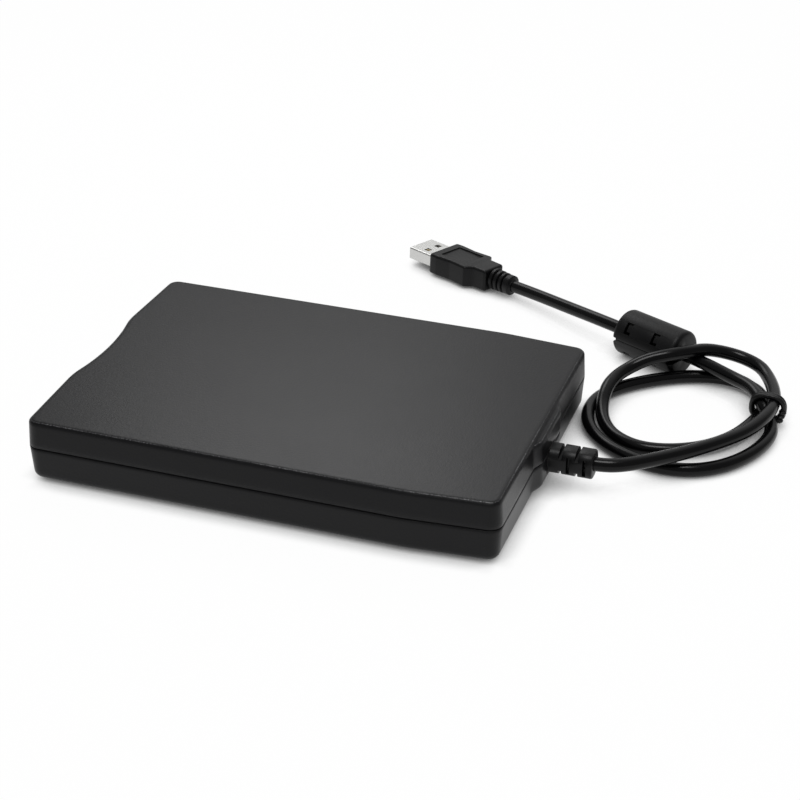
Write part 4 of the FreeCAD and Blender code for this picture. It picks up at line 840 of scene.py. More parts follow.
@dataclass
class Cable:
    """The cable: one curve from the strain relief, round its turns, to the plug's boot.

    Args:
        diameter: Across the jacket.
        length: From the strain relief to the plug; not used.
        lead: Points from the case to the turns.
        outer_turn: Points on the first run along the far side, through the tie.
        raised_turn: Points where it climbs over the other turns and comes down.
        inner_turn: Points round the inner ring and through the tie.
        second_turn: Points round the ring again, on the table.
        tail: Points from the tie through the ferrite to the plug.
    """

    diameter: float = 4.3
    length: float = 553.0
    lead: list[Point] = field(default_factory=lambda: [
        (0.0, 83.6, 8.6), (0.0, 89.9, 8.6), (-2.6, 96.0, 8.5), (-8.6, 102.9, 8.2),
        (-17.0, 111.4, 7.7)])
    outer_turn: list[Point] = field(default_factory=lambda: [
        (-26.4, 119.6, 7.4), (-37.0, 126.6, 7.0), (-47.6, 130.6, 7.4), (-58.0, 131.6, 6.9),
        (-66.2, 129.95, 7.0), (-74.4, 127.05, 6.6)])
    raised_turn: list[Point] = field(default_factory=lambda: [
        (-80.2, 123.4, 7.2), (-83.4, 117.2, 7.8), (-83.0, 110.6, 9.0), (-79.6, 105.0, 10.7),
        (-74.4, 99.8, 11.4), (-70.2, 94.0, 11.2), (-67.8, 88.0, 9.8), (-64.0, 83.2, 7.8)])
    inner_turn: list[Point] = field(default_factory=lambda: [
        (-58.6, 80.2, 7.0), (-51.0, 78.8, 6.3), (-42.4, 79.4, 3.2), (-34.0, 82.8, 2.2),
        (-27.6, 88.4, 2.2), (-24.4, 96.0, 2.2), (-25.8, 105.2, 2.2), (-31.0, 114.4, 2.2),
        (-39.4, 121.4, 2.2), (-49.0, 125.6, 2.4), (-58.4, 127.9, 2.4)])
    second_turn: list[Point] = field(default_factory=lambda: [
        (-68.0, 127.4, 2.4), (-75.4, 121.4, 2.2), (-78.2, 111.6, 2.2), (-75.2, 100.4, 2.2),
        (-69.0, 90.4, 2.2), (-60.6, 81.4, 2.2), (-51.0, 75.8, 2.2), (-40.6, 75.3, 2.2),
        (-31.0, 78.4, 2.2), (-23.4, 84.6, 2.2), (-18.0, 93.2, 2.2), (-15.0, 103.4, 2.2),
        (-16.2, 114.0, 2.2), (-22.8, 123.2, 2.2), (-33.2, 129.8, 2.2), (-44.4, 133.0, 2.2),
        (-52.4, 131.9, 2.6), (-58.2, 127.2, 6.9)])
    tail: list[Point] = field(default_factory=lambda: [
        (-66.0, 122.8, 7.0), (-71.2, 115.6, 6.4), (-76.92, 103.65, 7.7),
        (-93.53, 68.81, 7.7), (-103.4, 52.6, 6.2), (-112.59, 38.33, 4.7),
        (-116.82, 29.27, 4.4)])

    def build(self, pieces: Iterable[Any]) -> bpy.types.Object:
        """Args:
            pieces: What sits on the cable; not used.

        Returns:
            The cable's curve.
        """
        points = (self.lead + self.outer_turn + self.raised_turn + self.inner_turn
                  + self.second_turn + self.tail)
        data = bpy.data.curves.new("cable", "CURVE")
        data.dimensions = "3D"
        data.bevel_depth = self.diameter / 2 * MM
        data.bevel_resolution = 5
        data.use_fill_caps = True
        data.resolution_u = 8
        line = data.splines.new("NURBS")
        line.points.add(len(points) - 1)
        for knot, point in zip(line.points, points):
            knot.co = (*place(point), 1.0)
        line.order_u = 3
        line.use_endpoint_u = True
        data.materials.append(JACKET_PVC.material())
        cable = bpy.data.objects.new("cable", data)
        bpy.context.scene.collection.objects.link(cable)
        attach(cable, "case")
        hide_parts("cable_lead", "cable_coil", "cable_tail")
        return cable


@dataclass
class StrainRelief:
    """The moulded sleeve where the cable leaves the case.

    Args:
        half_width: Half the sleeve's width.
        half_height: Half its height.
        axis_height: Height of the cable's middle.
        wall_y: Where the case's rear boss ends.
        length: How far the sleeve stands out.
        corner: Radius of its section's corners.
        flange: From and to how far inside the wall its flange reaches.
        flange_lip: How far the flange stands out sideways and upwards.
        flange_corner: Radius of the flange's corners.
        neck_corner: Radius of the section in the wall's opening.
        neck_end: How far outside the wall the section is round again.
        end_round: How far the free end's edge is rounded.
        slots: Number of crosswise slots, which lie in turn above and at the sides.
        first_slot: From the wall to the first slot.
        pitch: From one slot to the next.
        slot: Width of a slot.
        slot_depth: Depth of a slot.
        rib: What stays above and below a side slot.
        soften: Radius of the slots' edges.
        bore: Depth and radius of the hole that the cable leaves.
    """

    half_width: float = 4.25
    half_height: float = 4.2
    axis_height: float = 8.6
    wall_y: float = 74.25
    length: float = 13.45
    corner: float = 3.3
    flange: tuple[float, float] = (5.2, 4.0)
    flange_lip: tuple[float, float] = (1.0, 0.8)
    flange_corner: float = 1.0
    neck_corner: float = 0.4
    neck_end: float = 0.25
    end_round: float = 0.5
    slots: int = 4
    first_slot: float = 3.1
    pitch: float = 2.48
    slot: float = 1.0
    slot_depth: float = 2.3
    rib: float = 1.5
    soften: float = 0.4
    bore: tuple[float, float] = (4.1, 2.2)

    def build(self) -> bpy.types.Object:
        """Mould the sleeve with its crosswise slots.

        Returns:
            The piece.
        """
        w, h, z, wall = self.half_width, self.half_height, self.axis_height, self.wall_y
        end, corner, inset = wall + self.length, self.corner, self.end_round
        lip = (w + self.flange_lip[0], h + self.flange_lip[1], self.flange_corner, z)
        sleeve = bmesh.new()
        loft(sleeve, [(wall - self.flange[0], *lip), (wall - self.flange[1], *lip),
                      (wall - self.flange[1] + 0.05, w, h, self.neck_corner, z),
                      (wall, w, h, self.neck_corner, z),
                      (wall + self.neck_end, w, h, corner, z),
                      (end - inset, w, h, corner, z),
                      (end - 0.3 * inset, w - 0.3 * inset, h - 0.3 * inset, corner, z),
                      (end, w - inset, h - inset, corner, z)])
        slots = bmesh.new()
        depth = self.slot_depth
        for i in range(self.slots):
            y = wall + self.first_slot + i * self.pitch
            far = y + self.slot
            low, high = z - h + self.rib, z + h - self.rib
            if i % 2 == 0:
                block(slots, (-w - 1, y, z + h - depth), (w + 1, far, z + h + 1))
                block(slots, (-w - 1, y, z - h - 1), (w + 1, far, z - h + depth))
            else:
                block(slots, (w - depth, y, low), (w + 1, far, high))
                block(slots, (-w - 1, y, low), (-w + depth, far, high))
        sleeve = carve(sleeve, slots, soften=self.soften)
        bore = bmesh.new()
        depth, radius = self.bore
        turned(bore, [(end - depth, radius), (end + 1.0, radius)], (0.0, 0.0, z), "Y")
        sleeve = carve(sleeve, bore)
        move(sleeve)
        piece = new_piece("cable_relief_sleeve", sleeve, MOULD_PVC, "case")
        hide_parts("strain_relief")
        return piece


@dataclass
class Tie:
    """The soft tie that is wound twice round the turns and twisted shut.

    Args:
        middle: Middle of the bundle that it holds.
        half_y: Half the depth of a wrap.
        half_z: Half its height.
        radius: Radius of the tie.
        wraps: How often it goes round.
        wrap_steps: Points in each wrap.
        squareness: 2 for an oval wrap, more for a squarer one.
        first_angle: Where the wraps start, in radians.
        spread: How far the wraps move along the bundle.
        sway: How far each wrap swings to either side.
        root: Where the twisted ends start, from the middle.
        tail: Where they point.
        strand: Radius of each end, and of its twist.
        sink: How deep the twist starts under the wraps.
        tail_length: Length of the twist.
        tail_turns: Turns in the twist.
    """

    middle: Point = (-58.0, 129.6, 5.0)
    half_y: float = 5.1
    half_z: float = 4.55
    radius: float = 0.85
    wraps: float = 2.0
    wrap_steps: int = 36
    squareness: float = 2.6
    first_angle: float = -0.15 * math.pi
    spread: float = 2.4
    sway: float = 0.35
    root: Point = (2.0, 4.8, -0.5)
    tail: Point = (0.62, -0.2, -0.72)
    strand: float = 0.62
    sink: float = 1.2
    tail_length: float = 4.0
    tail_turns: float = 1.5

    def build(self) -> bpy.types.Object:
        """Wind the tie and twist its ends.

        Returns:
            The piece.
        """
        cx, cy, cz = self.middle
        path = []
        power = self.squareness
        for i in range(int(self.wraps * self.wrap_steps) + 1):
            turn = i / self.wrap_steps
            angle = self.first_angle - 2 * math.pi * turn
            c, s = math.cos(angle), math.sin(angle)
            reach = (abs(c) ** power + abs(s) ** power) ** (-1 / power)
            lean = self.spread * (turn / self.wraps - 0.5)
            path.append(place((cx + lean + self.sway * s, cy + self.half_y * c * reach,
                               max(cz + self.half_z * s * reach, self.radius))))
        mesh = bmesh.new()
        sweep(mesh, path, self.radius * MM, 12)
        along = Vector(self.tail).normalized()
        root = (Vector([a + b for a, b in zip(self.middle, self.root)])
                - along * self.sink)
        across = Vector((0.0, 1.0, 0.0)).cross(along).normalized()
        for phase in (1.0, -1.0):
            strand = helix(root, along, across * phase, self.strand, self.tail_length,
                           self.tail_turns, 14)
            sweep(mesh, [point * MM for point in strand], self.strand * MM, 10)
        piece = new_piece("cable_tie_twist", mesh, TIE_PVC, "case")
        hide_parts("cable_tie")
        return piece


@dataclass
class Ferrite:
    """The clip-on ferrite: two moulded half shells hinged on the far side.

    Args:
        origin: Middle of its left end.
        heading: Turn about Z, in degrees.
        radius: Radius of the case.
        length: Length of the case.
        seam: Gap between the halves.
        bore: Radius of the hole for the cable.
        wall: Thickness of the round wall.
        end_wall: Thickness of the end walls.
        edge: Rounding of the ends.
        notch: Depth, lowest and highest edge of the notch at each end's seam.
        stations: Where the two clips are along the case.
        window_half: Half the width of a window.
        window_low: Underside of a window.
        window_high: Top of a window.
        window_floor: How close to the middle a window is cut.
        recess: Inner and outer edge of the room for a clip behind its window.
        pocket: Inner edge, underside and top of the pocket under a clip.
        soften: Radius of the cut edges.
        clip_radius: Radius of the clip's round nose.
        clip_angles: First and last angle of the nose, in degrees.
        clip_back: The rest of the clip's outline, before the nose.
        clip_front: The rest of it after the nose.
        clip_gaps: Room at either side of the clip in its window.
    """

    origin: Point = (-90.09, 76.03, 7.7)
    heading: float = -25.5
    radius: float = 7.7
    length: float = 24.6
    seam: float = 0.2
    bore: float = 2.2
    wall: float = 1.3
    end_wall: float = 2.6
    edge: float = 1.5
    notch: Point = (1.8, -1.6, 0.5)
    stations: tuple[float, float] = (5.6, 16.6)
    window_half: float = 1.25
    window_low: float = 3.7
    window_high: float = 6.2
    window_floor: float = 3.2
    recess: tuple[float, float] = (3.9, 7.1)
    pocket: Point = (5.6, -5.6, -4.0)
    soften: float = 0.15
    clip_radius: float = 7.28
    clip_angles: tuple[float, float] = (29.5, 50.0)
    clip_back: tuple[tuple[float, float], ...] = (
        (4.5, -2.5), (6.6, -2.5), (6.6, -1.2), (5.4, -0.9), (5.4, 2.4))
    clip_front: tuple[tuple[float, float], ...] = ((3.9, 5.0), (4.5, 3.6))
    clip_gaps: tuple[float, float] = (0.75, 0.25)

    def shell(self) -> bmesh.types.BMesh:
        """The closed outer form before it is cut in two.

        Returns:
            The mesh, in millimetres along +Y.
        """
        steps = 6
        rounding = []
        for i in range(steps + 1):
            angle = math.pi / 2 * i / steps
            rounding.append((self.edge * (1 - math.cos(angle)),
                             self.radius - self.edge * (1 - math.sin(angle))))
        profile = rounding + [(self.length - y, r) for y, r in reversed(rounding)]
        mesh = bmesh.new()
        turned(mesh, profile, (0.0, 0.0, 0.0), "Y", 72)
        return mesh

    def half(self, upper: bool) -> bmesh.types.BMesh:
        """Cut one half shell with its windows, notches and bore.

        Args:
            upper: Whether it is the half that opens.

        Returns:
            The mesh, in millimetres along +Y.
        """
        tools = bmesh.new()
        far, seam, inner = self.radius + 2, self.seam / 2, self.radius - self.wall
        if upper:
            block(tools, (-far, -1, -far), (far, self.length + 1, seam))
        else:
            block(tools, (-far, -1, -seam), (far, self.length + 1, far))
        turned(tools, [(-1.0, self.bore), (self.length + 1, self.bore)], (0.0, 0.0, 0.0), "Y")
        turned(tools, [(self.end_wall, inner), (self.length - self.end_wall, inner)],
               (0.0, 0.0, 0.0), "Y", 48)
        depth, low, high = self.notch
        for y in (-1.0, self.length - depth):
            block(tools, (-far, y, low), (far, y + depth + 1, high))
        top, w = self.window_high, self.window_half
        # Inner and outer edge, underside and top of each opening for a clip.
        if upper:
            openings = [(self.window_floor, far, self.window_low, top),
                        (*self.recess, -1, top)]
        else:
            openings = [(self.pocket[0], far, *self.pocket[1:])]
        for y in self.stations:
            for near, out, low, high in openings:
                block(tools, (near, y - w, low), (out, y + w, high))
        return carve(self.shell(), tools, soften=self.soften)

    def clip(self, mesh: bmesh.types.BMesh, y: float) -> None:
        """Add one clip whose nose nearly fills its window.

        Args:
            mesh: The lower half shell.
            y: Middle of the clip along the case.
        """
        steps = 7
        first, last = self.clip_angles
        nose = []
        for i in range(steps + 1):
            angle = math.radians(first + (last - first) * i / steps)
            nose.append((self.clip_radius * math.cos(angle),
                         self.clip_radius * math.sin(angle)))
        outline = [*self.clip_back, *nose, *self.clip_front]
        left, right = self.clip_gaps
        ends = [[mesh.verts.new((x, y + reach, z)) for x, z in outline]
                for reach in (left - self.window_half, self.window_half - right)]
        skin(mesh, ends)

    def build(self) -> list[bpy.types.Object]:
        """Build both half shells and the clips.

        Returns:
            The opening half and the fixed half.
        """
        upper = self.half(True)
        move(upper, self.origin, self.heading)
        lid = new_piece("ferrite_lid_shell", upper, CLAMP_ABS, "ferrite_lid",
                        30)
        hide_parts("ferrite_upper_case")
        lower = self.half(False)
        for y in self.stations:
            self.clip(lower, y)
        move(lower, self.origin, self.heading)
        base = new_piece("ferrite_base_shell", lower, CLAMP_ABS, "case", 30)
        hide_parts("ferrite_lower_case")
        return [lid, base]


@dataclass
class Plug:
    """The USB plug's moulded grip and ribbed boot.

    Args:
        origin: Middle of the grip's front, on its underside.
        heading: Turn about Z, in degrees.
        roll: Turn about its own length, in degrees.
        height: Height of the grip.
        nose_height: Height at its front.
        nose_length: Over how much of the grip it rises to its full height.
        front_round: Sections of the rounded front: how far in from the end each is, how
            far it is drawn in, and the radius of its corners.
        rear_round: The same at the rear.
        straight: How far in from the front and the rear the sides start.
        corner: Radius of the corners between.
        length: Length of the grip and boot.
        bulges: Distance from the front and half width at each mark of the sides.
        neck: Radius where the boot leaves the grip, and at its start inside.
        neck_sink: How far inside the grip the boot starts.
        ribs: Start, width and radius of each rib.
        rib_root: Radius between the ribs, as a share of the rib's.
        rib_round: How far a rib's edges are rounded.
        rib_flank: Length over which a rib's side rises.
        tip: Radius of the boot's last stretch, at either end.
        tip_length: Length of that stretch.
        panel: Half width, front and rear of the sunk panel.
        panel_depth: How deep it is sunk.
        panel_corner: Radius of its edges.
    """

    origin: Point = (-131.4, -2.0, 0.3978)
    heading: float = -25.0
    roll: float = 3.0
    height: float = 8.0
    nose_height: float = 7.7
    nose_length: float = 16.0
    front_round: tuple[Point, ...] = (
        (0.0, 0.8, 0.5), (0.08, 0.45, 0.7), (0.35, 0.12, 0.9), (0.8, 0.0, 1.0))
    rear_round: tuple[Point, ...] = ((0.35, 0.12, 1.0), (0.08, 0.45, 0.8), (0.0, 0.8, 0.6))
    straight: tuple[float, float] = (0.9, 0.7)
    corner: float = 1.05
    length: float = 34.5
    bulges: tuple[tuple[float, float], ...] = (
        (0.0, 7.55), (3.4, 7.75), (9.6, 7.15), (16.8, 7.7), (18.9, 5.2), (24.9, 5.0))
    neck: tuple[float, float] = (2.8, 2.6)
    neck_sink: float = 0.8
    ribs: tuple[tuple[float, float, float], ...] = (
        (25.2, 1.55, 3.9), (27.4, 1.5, 3.8), (29.5, 1.45, 3.7), (31.5, 2.5, 3.6))
    rib_root: float = 0.74
    rib_round: float = 0.3
    rib_flank: float = 0.04
    tip: tuple[float, float] = (2.5, 2.25)
    tip_length: float = 0.4
    panel: Point = (5.0, 3.4, 15.4)
    panel_depth: float = 0.62
    panel_corner: float = 0.25

    def side(self, y: float) -> float:
        """Half width of the grip at one station: a finger hollow, a shoulder and the neck.

        Args:
            y: Distance from the grip's front.

        Returns:
            The half width there.
        """
        marks = self.bulges
        for (y0, w0), (y1, w1) in zip(marks, marks[1:]):
            if y <= y1:
                return w0 + (w1 - w0) * (y - y0) / (y1 - y0)
        return marks[-1][1]

    def grip(self) -> bmesh.types.BMesh:
        """The waisted grip, thinner at its front.

        Returns:
            The mesh, in millimetres along +Y.
        """
        mesh = bmesh.new()
        nose, full = self.nose_height / 2, self.height / 2
        front = self.bulges[0][1]
        end, rear = self.bulges[-1]
        sections = [(y, front - inset, nose - inset, corner)
                    for y, inset, corner in self.front_round]
        steps = 60
        for i in range(steps + 1):
            y = self.straight[0] + (end - sum(self.straight)) * i / steps
            rise = min(1.0, y / self.nose_length)
            sections.append((y, self.side(y), nose + (full - nose) * rise, self.corner))
        sections += [(end - y, rear - inset, full - inset, corner)
                     for y, inset, corner in self.rear_round]
        loft(mesh, [(*section, full) for section in sections])
        return mesh

    def boot(self, mesh: bmesh.types.BMesh) -> None:
        """Add the neck, the ribs and the end collar behind the grip.

        Args:
            mesh: The mesh that gets them.
        """
        y, flank, soft = self.bulges[-1][0], self.rib_flank, self.rib_round
        profile = [(y - self.neck_sink, self.neck[1]), (y, self.neck[0])]
        for at, width, radius in self.ribs:
            core, shy, end = radius * self.rib_root, radius - soft, at + width
            profile += [(at, core), (at + flank, shy), (at + soft, radius),
                        (end - soft, radius), (end - flank, shy), (end, core)]
        profile += [(self.length - self.tip_length, self.tip[0]), (self.length, self.tip[1])]
        loft(mesh, [(at, radius, radius, radius, self.height / 2) for at, radius in profile],
             12)

    def build(self) -> bpy.types.Object:
        """Mould the grip with its panel groove and the boot.

        Returns:
            The piece.
        """
        grip = self.grip()
        pocket = bmesh.new()
        half, front, rear = self.panel
        block(pocket, (-half, front, self.height - self.panel_depth),
              (half, rear, self.height + 2), self.panel_corner)
        grip = carve(grip, pocket)
        self.boot(grip)
        move(grip, self.origin, self.heading, self.roll, self.height / 2)
        piece = new_piece("plug_grip", grip, MOULD_PVC, "case", 40)
        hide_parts("plug_overmold")
        return piece


@dataclass
class Springs:
    """The wound springs: two that pull the slide, one at the latch, one at the flap.

    Args:
        slide_half_spacing: From the middle of the drive to each slide spring.
        slide_height: Height of their middle.
        slide_front: Where their front hooks end.
        slide_rear: Where their rear hooks end.
        slide_radius: Radius of the middle of their wire.
        slide_wire: Radius of their wire.
        slide_hook: Length of each hook.
        slide_gap: Room past the end of each hook.
        slide_turns: Turns in each coil.
        slide_kept: Share of their length that is left when the slide is out; not used.
        latch_radius: Radius of the middle of the latch spring's wire.
        latch_wire: Radius of its wire.
        latch_leg: Where its leg ends on the lever.
        door_radius: Radius of the middle of the flap spring's wire.
        door_wire: Radius of its wire.
        door_leg_height: Height at which its leg ends on the flap.
        door_leg_sink: How far that leg stands in from the coil's side.
        winding: Length of one turn of a close-wound coil, in radii of its wire.
    """

    slide_half_spacing: float = 40.0
    slide_height: float = 5.9
    slide_front: float = -48.0
    slide_rear: float = -31.0
    slide_radius: float = 0.8
    slide_wire: float = 0.2
    slide_hook: float = 1.6
    slide_gap: float = 0.15
    slide_turns: int = 24
    slide_kept: float = 0.68
    latch_radius: float = 1.82
    latch_wire: float = 0.22
    latch_leg: Point = (-33.4, 24.6, 9.55)
    door_radius: float = 0.82
    door_wire: float = 0.15
    door_leg_height: float = 11.0
    door_leg_sink: float = 0.02
    winding: float = 2.1

    def slide_spring(self, side: int) -> bpy.types.Object:
        """Wind one of the slide's springs with a hook at each end.

        Args:
            side: 1 for the right one, -1 for the left one.

        Returns:
            The piece.
        """
        x, z = side * self.slide_half_spacing, self.slide_height
        hook, beside = self.slide_hook, x + self.slide_radius
        front, rear = self.slide_front + hook, self.slide_rear - hook
        path = [Vector((beside, self.slide_front + self.slide_gap, z)),
                Vector((beside, self.slide_front + hook / 2, z))]
        path += helix(Vector((x, front, z)), Vector((0, 1, 0)), Vector((1, 0, 0)),
                      self.slide_radius, rear - front, self.slide_turns, 12)
        path += [Vector((beside, self.slide_rear - hook / 2, z)),
                 Vector((beside, self.slide_rear - self.slide_gap, z))]
        mesh = bmesh.new()
        sweep(mesh, [point * MM for point in path], self.slide_wire * MM, 8)
        name = "slide_spring_right" if side > 0 else "slide_spring_left"
        piece = new_piece(name, mesh, SPRING_WIRE, "case")
        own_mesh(piece)
        return piece

    def coil(self, name: str, start: Vector, axis: Vector, across: Vector, radius: float,
             wire: float, length: float, leg: Vector, body: str) -> bpy.types.Object:
        """Wind a close-wound coil with one straight leg.

        Args:
            name: The piece's name.
            start: Middle of the end without the leg.
            axis: Unit vector along the coil.
            across: Unit vector from the axis to where the wire starts and ends.
            radius: Radius of the middle of the wire.
            wire: Radius of the wire.
            length: Length of the coil.
            leg: Where the leg ends.
            body: The body that it turns with.

        Returns:
            The piece.
        """
        turns = int(length / (self.winding * wire))
        path = helix(start, axis, across, radius, length, turns, 14) + [leg]
        mesh = bmesh.new()
        sweep(mesh, [point * MM for point in path], wire * MM, 8)
        return new_piece(name, mesh, SPRING_WIRE, body)

    def latch_spring(self) -> bpy.types.Object:
        """Wind the spring round the latch lever's stud; its leg turns with the lever.

        Returns:
            The piece.
        """
        low, high = (Vector(corner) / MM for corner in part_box("latch_spring"))
        stud = Vector(((low.x + high.x) / 2, (low.y + high.y) / 2, low.z + self.latch_wire))
        arm = (Vector(self.latch_leg) - stud).xy.normalized()
        across = Vector((arm.y, -arm.x, 0.0))
        piece = self.coil("latch_spring_coil", stud, Vector((0.0, 0.0, 1.0)), across,
                          self.latch_radius, self.latch_wire, self.latch_leg[2] - stud.z,
                          Vector(self.latch_leg) + across * self.latch_radius, "lever")
        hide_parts("latch_spring")
        return piece

    def door_spring(self) -> bpy.types.Object:
        """Wind the flap's closing spring round its pin, with one leg on the flap.

        Returns:
            The piece.
        """
        low, high = (Vector(corner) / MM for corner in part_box("door_spring"))
        y, z = (low.y + high.y) / 2, high.z - (high.y - low.y) / 2
        start = Vector((high.x - self.door_wire, y, z))
        length = high.x - low.x - 2 * self.door_wire
        leg = Vector((start.x - length, y + self.door_radius - self.door_leg_sink,
                      self.door_leg_height))
        piece = self.coil("door_spring_coil", start, Vector((-1.0, 0.0, 0.0)),
                          Vector((0.0, 1.0, 0.0)), self.door_radius, self.door_wire, length,
                          leg, "flap")
        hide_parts("door_spring")
        return piece

    def build(self) -> list[bpy.types.Object]:
        """Wind all four springs.

        Returns:
            The pieces.
        """
        pair = [self.slide_spring(1), self.slide_spring(-1)]
        for piece in pair:
            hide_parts("slide_springs")
        return pair + [self.latch_spring(), self.door_spring()]


@dataclass
class ChipLegs:
    """The formed leads on all four sides of the two chips.

    Args:
        pitch: From one lead to the next.
        width: Width of a lead.
        sheet: Thickness of a lead.
        root_height: Height above the board at which a lead leaves the chip.
        reach: How far a lead's foot stands out.
        corner: Free room at each corner of the chip.
        chips: For each chip the piece's name, its node, its board, its corner in the
            node's box and its side.
    """

    pitch: float = 0.8
    width: float = 0.36
    sheet: float = 0.14
    root_height: float = 0.55
    reach: float = 0.95
    corner: float = 0.7
    chips: tuple[tuple[str, str, str, tuple[float, float], float], ...] = (
        ("control_chip_legs", "control_parts", "control_board", (3.3, 0.0), 10.0),
        ("usb_chip_legs", "usb_board_parts", "usb_board", (14.0, 1.6), 8.0))

    def legs(self, name: str, middle: Vector, size: float) -> bpy.types.Object:
        """Form the leads of one chip.

        Args:
            name: The piece's name.
            middle: Middle of the chip's underside, in millimetres.
            size: The chip's side.

        Returns:
            The piece.
        """
        up, t = self.root_height, self.sheet
        # Out from the chip's side and up from the board, round one lead's section.
        outline = [(-0.05, up), (0.35, up), (0.42, t), (self.reach, t), (self.reach, 0.01),
                   (0.3, 0.01), (0.23, up - t), (-0.05, up - t)]
        mesh = bmesh.new()
        count = int((size - 2 * self.corner) / self.pitch)
        for side in range(4):
            turn = Matrix.Rotation(math.pi / 2 * side, 3, "Z")
            for i in range(count + 1):
                offset = (i - count / 2) * self.pitch
                skin(mesh, [[mesh.verts.new(
                    turn @ Vector((size / 2 + out, offset + edge, height)) + middle)
                    for out, height in outline]
                    for edge in (-self.width / 2, self.width / 2)])
        move(mesh)
        return new_piece(name, mesh, BRIGHT_SCREW, "case")

    def build(self) -> list[bpy.types.Object]:
        """Form the leads of the control chip and the USB chip.

        Returns:
            The pieces.
        """
        pieces = []
        for name, node, board, corner, size in self.chips:
            parts = Vector(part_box(node)[0]) / MM
            pieces.append(self.legs(name, Vector((
                parts.x + corner[0] + size / 2, parts.y + corner[1] + size / 2,
                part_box(board)[1][2] / MM)), size))
        return pieces


@dataclass
class LeadScrew:
    """The stepper's lead screw with its rolled thread.

    Args:
        across: From the middle of the drive to the screw.
        height: Height of its middle.
        front: Where the thread starts.
        rear: Where it ends.
        radius: Radius of the thread's crest.
        root_depth: Depth of the thread.
        journal: Radius of the plain ends.
        chamfer: Width of the slanted edge at the front.
        pitch: Length of one turn.
        run_out: Plain length at either end of the thread.
        crest_half: Half the width of the crest.
        flank_half: Half the width of the thread at its root.
        turn_steps: Sections in each turn.
    """

    across: float = 19.0
    height: float = 9.4
    front: float = 26.5
    rear: float = 45.1
    radius: float = 1.5
    root_depth: float = 0.38
    journal: float = 0.8
    chamfer: float = 0.12
    pitch: float = 3.75
    run_out: float = 0.5
    crest_half: float = 0.3
    flank_half: float = 0.62
    turn_steps: int = 32

    def build(self) -> list[bpy.types.Object]:
        """Roll the thread and turn the two journals.

        Returns:
            The piece, in a list.
        """
        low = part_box("lead_screw")[0][1] / MM
        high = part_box("lead_screw")[1][1] / MM
        mesh = bmesh.new()
        root = self.radius - self.root_depth
        thin = self.journal
        turned(mesh, [(low, thin - self.chamfer), (low + self.chamfer, thin),
                      (self.front, thin), (self.front + 0.05, root),
                      (self.rear - 0.05, root), (self.rear, thin), (high, thin)],
               (self.across, 0.0, self.height), "Y", 28)
        length = self.rear - self.front - 2 * self.run_out
        count = int(length / self.pitch * self.turn_steps)
        ridge = ((root - 0.1, -self.flank_half), (self.radius, -self.crest_half),
                 (self.radius, self.crest_half), (root - 0.1, self.flank_half))
        rows = []
        for i in range(count + 1):
            y = self.front + self.run_out + length * i / count
            angle = 2 * math.pi * i / self.turn_steps
            out = Vector((math.cos(angle), 0.0, math.sin(angle)))
            middle = Vector((self.across, y, self.height))
            rows.append([mesh.verts.new(middle + out * r + Vector((0.0, dy, 0.0)))
                         for r, dy in ridge])
        skin(mesh, rows)
        move(mesh)
        piece = new_piece("lead_screw_thread", mesh, GROUND_STEEL, "screw")
        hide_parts("lead_screw")
        return [piece]


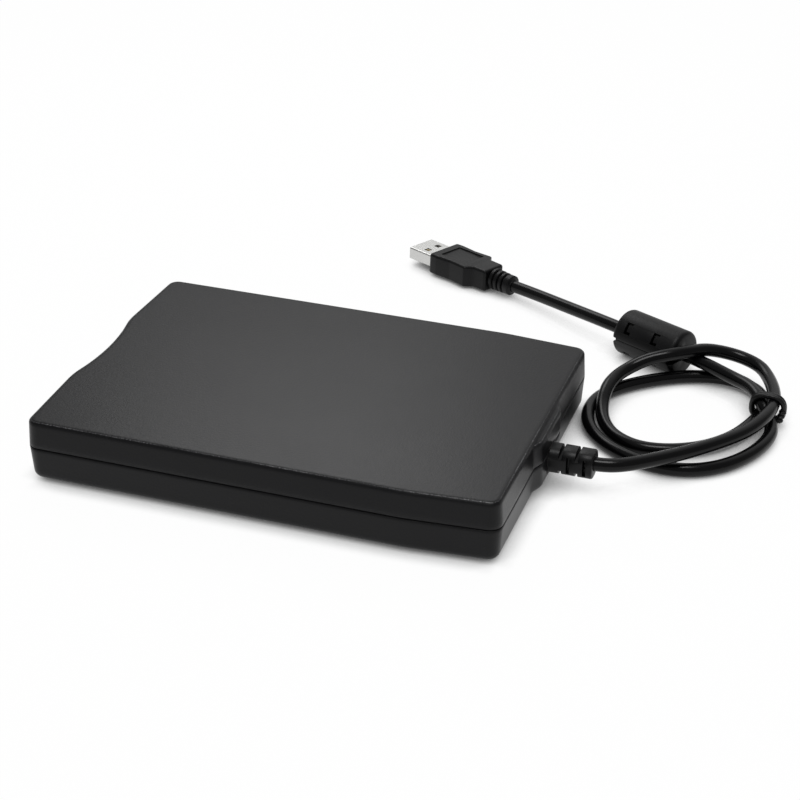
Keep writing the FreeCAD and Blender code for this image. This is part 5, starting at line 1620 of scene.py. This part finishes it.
@dataclass
class Screws:
    """Pan-head screws with a cross recess.

    Args:
        head_radius: Radius of the chassis screws' heads.
        head_height: Height of each head.
        dome: Stations of the head's round top, as shares of its height and radius.
        shank_radius: Radius of each shank.
        point: How much thinner the shank's end is, and how long its point is.
        recess_depth: Depth of the cross.
        recess_arm: Length of each arm of the cross, as a share of the head's radius.
        recess_half: Half an arm's width: the part that grows with the head, as a share of
            its radius, and the part that doesn't.
        seat_gap: Gap between a head and the face under it.
        case_at: Place of the right case screw's head.
        case_shank: Length of the case screws.
        case_head: Radius of their heads.
        chassis_half: From the middle of the drive to each chassis screw.
        chassis_rows: Where the chassis screws are along the drive.
        chassis_shank: Length of the chassis screws.
        board_half: From the middle of the drive to each screw of the USB board.
        board_y: Where these are along the drive.
        board_shank: Their length.
        board_head: Radius of their heads.
    """

    head_radius: float = 2.0
    head_height: float = 1.1
    dome: tuple[tuple[float, float], ...] = (
        (0.45, 1.0), (0.75, 0.9), (0.93, 0.7), (1.0, 0.4))
    shank_radius: float = 0.75
    point: tuple[float, float] = (0.3, 0.4)
    recess_depth: float = 0.6
    recess_arm: float = 0.55
    recess_half: tuple[float, float] = (0.085, 0.1)
    seat_gap: float = 0.02
    case_at: Point = (42.0, 63.8, 2.95)
    case_shank: float = 6.0
    case_head: float = 2.2
    chassis_half: float = 33.0
    chassis_rows: tuple[tuple[float, str], ...] = ((-42.0, "front"), (8.0, "rear"))
    chassis_shank: float = 3.0
    board_half: float = 22.0
    board_y: float = 63.9
    board_shank: float = 2.2
    board_head: float = 1.8

    def screw(self, name: str, at: Point, down: bool, shank: float, finish: Finish,
              radius: float) -> bpy.types.Object:
        """Turn one screw and press its cross recess.

        Args:
            name: The piece's name.
            at: Where the underside of the head sits, in millimetres.
            down: Whether the head faces down.
            shank: Length of the shank.
            finish: Its finish.
            radius: Radius of the head.

        Returns:
            The piece.
        """
        height = self.head_height
        mesh = bmesh.new()
        profile = [(-shank, self.shank_radius - self.point[0]),
                   (-shank + self.point[1], self.shank_radius), (0.0, self.shank_radius),
                   (0.01, radius - 0.08), (0.1, radius)]
        profile += [(height * up, radius * out) for up, out in self.dome]
        turned(mesh, profile, (0.0, 0.0, 0.0), "Z", 36)
        arm = radius * self.recess_arm
        half = radius * self.recess_half[0] + self.recess_half[1]
        for x, y in ((arm, half), (half, arm)):
            cross = bmesh.new()
            block(cross, (-x, -y, height - self.recess_depth), (x, y, height + 1))
            mesh = carve(mesh, cross)
        if down:
            bmesh.ops.rotate(mesh, verts=mesh.verts[:],
                             matrix=Matrix.Rotation(math.pi, 3, "X"))
        move(mesh, at)
        return new_piece(name, mesh, finish, "case")

    def build(self) -> list[bpy.types.Object]:
        """Drive the case screws, the chassis screws and the board screws.

        Returns:
            The pieces.
        """
        chassis_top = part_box("motor_board")[0][2] / MM + self.seat_gap
        board_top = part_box("usb_board")[1][2] / MM + self.seat_gap
        case_x, case_y, case_z = self.case_at
        pieces = []
        for side, word in ((1, "right"), (-1, "left")):
            pieces.append(self.screw(
                f"case_screw_{word}", (side * case_x, case_y, case_z), True,
                self.case_shank, BLACK_SCREW, self.case_head))
            for y, end in self.chassis_rows:
                pieces.append(self.screw(
                    f"chassis_screw_{word}_{end}",
                    (side * self.chassis_half, y, chassis_top), False,
                    self.chassis_shank, BRIGHT_SCREW, self.head_radius))
            pieces.append(self.screw(
                f"usb_board_screw_{word}",
                (side * self.board_half, self.board_y, board_top), False,
                self.board_shank, BRIGHT_SCREW, self.board_head))
        return pieces


def main() -> None:
    """Build the studio, dress the frame and add each piece."""
    logging.basicConfig(level=logging.INFO, format="%(name)s: %(message)s")
    Studio().build()
    LOG.info("studio ready")
    dress_nodes()
    LOG.info("%d nodes dressed", len(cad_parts))
    relief = StrainRelief().build()
    tie = Tie().build()
    lid, base = Ferrite().build()
    grip = Plug().build()
    LOG.info("cable mouldings built: %s, %s, %s, %s, %s", relief.name, tie.name, lid.name,
             base.name, grip.name)
    Cable().build([grip, "plug_shell", "plug_tongue", "plug_contacts", base, lid,
                   "ferrite_lower_core", "ferrite_upper_core", tie])
    LOG.info("cable laid")
    for maker in (Springs(), LeadScrew(), Screws(), ChipLegs()):
        for piece in maker.build():
            LOG.info("%s built", piece.name)


if __name__ == "__main__":
    main()
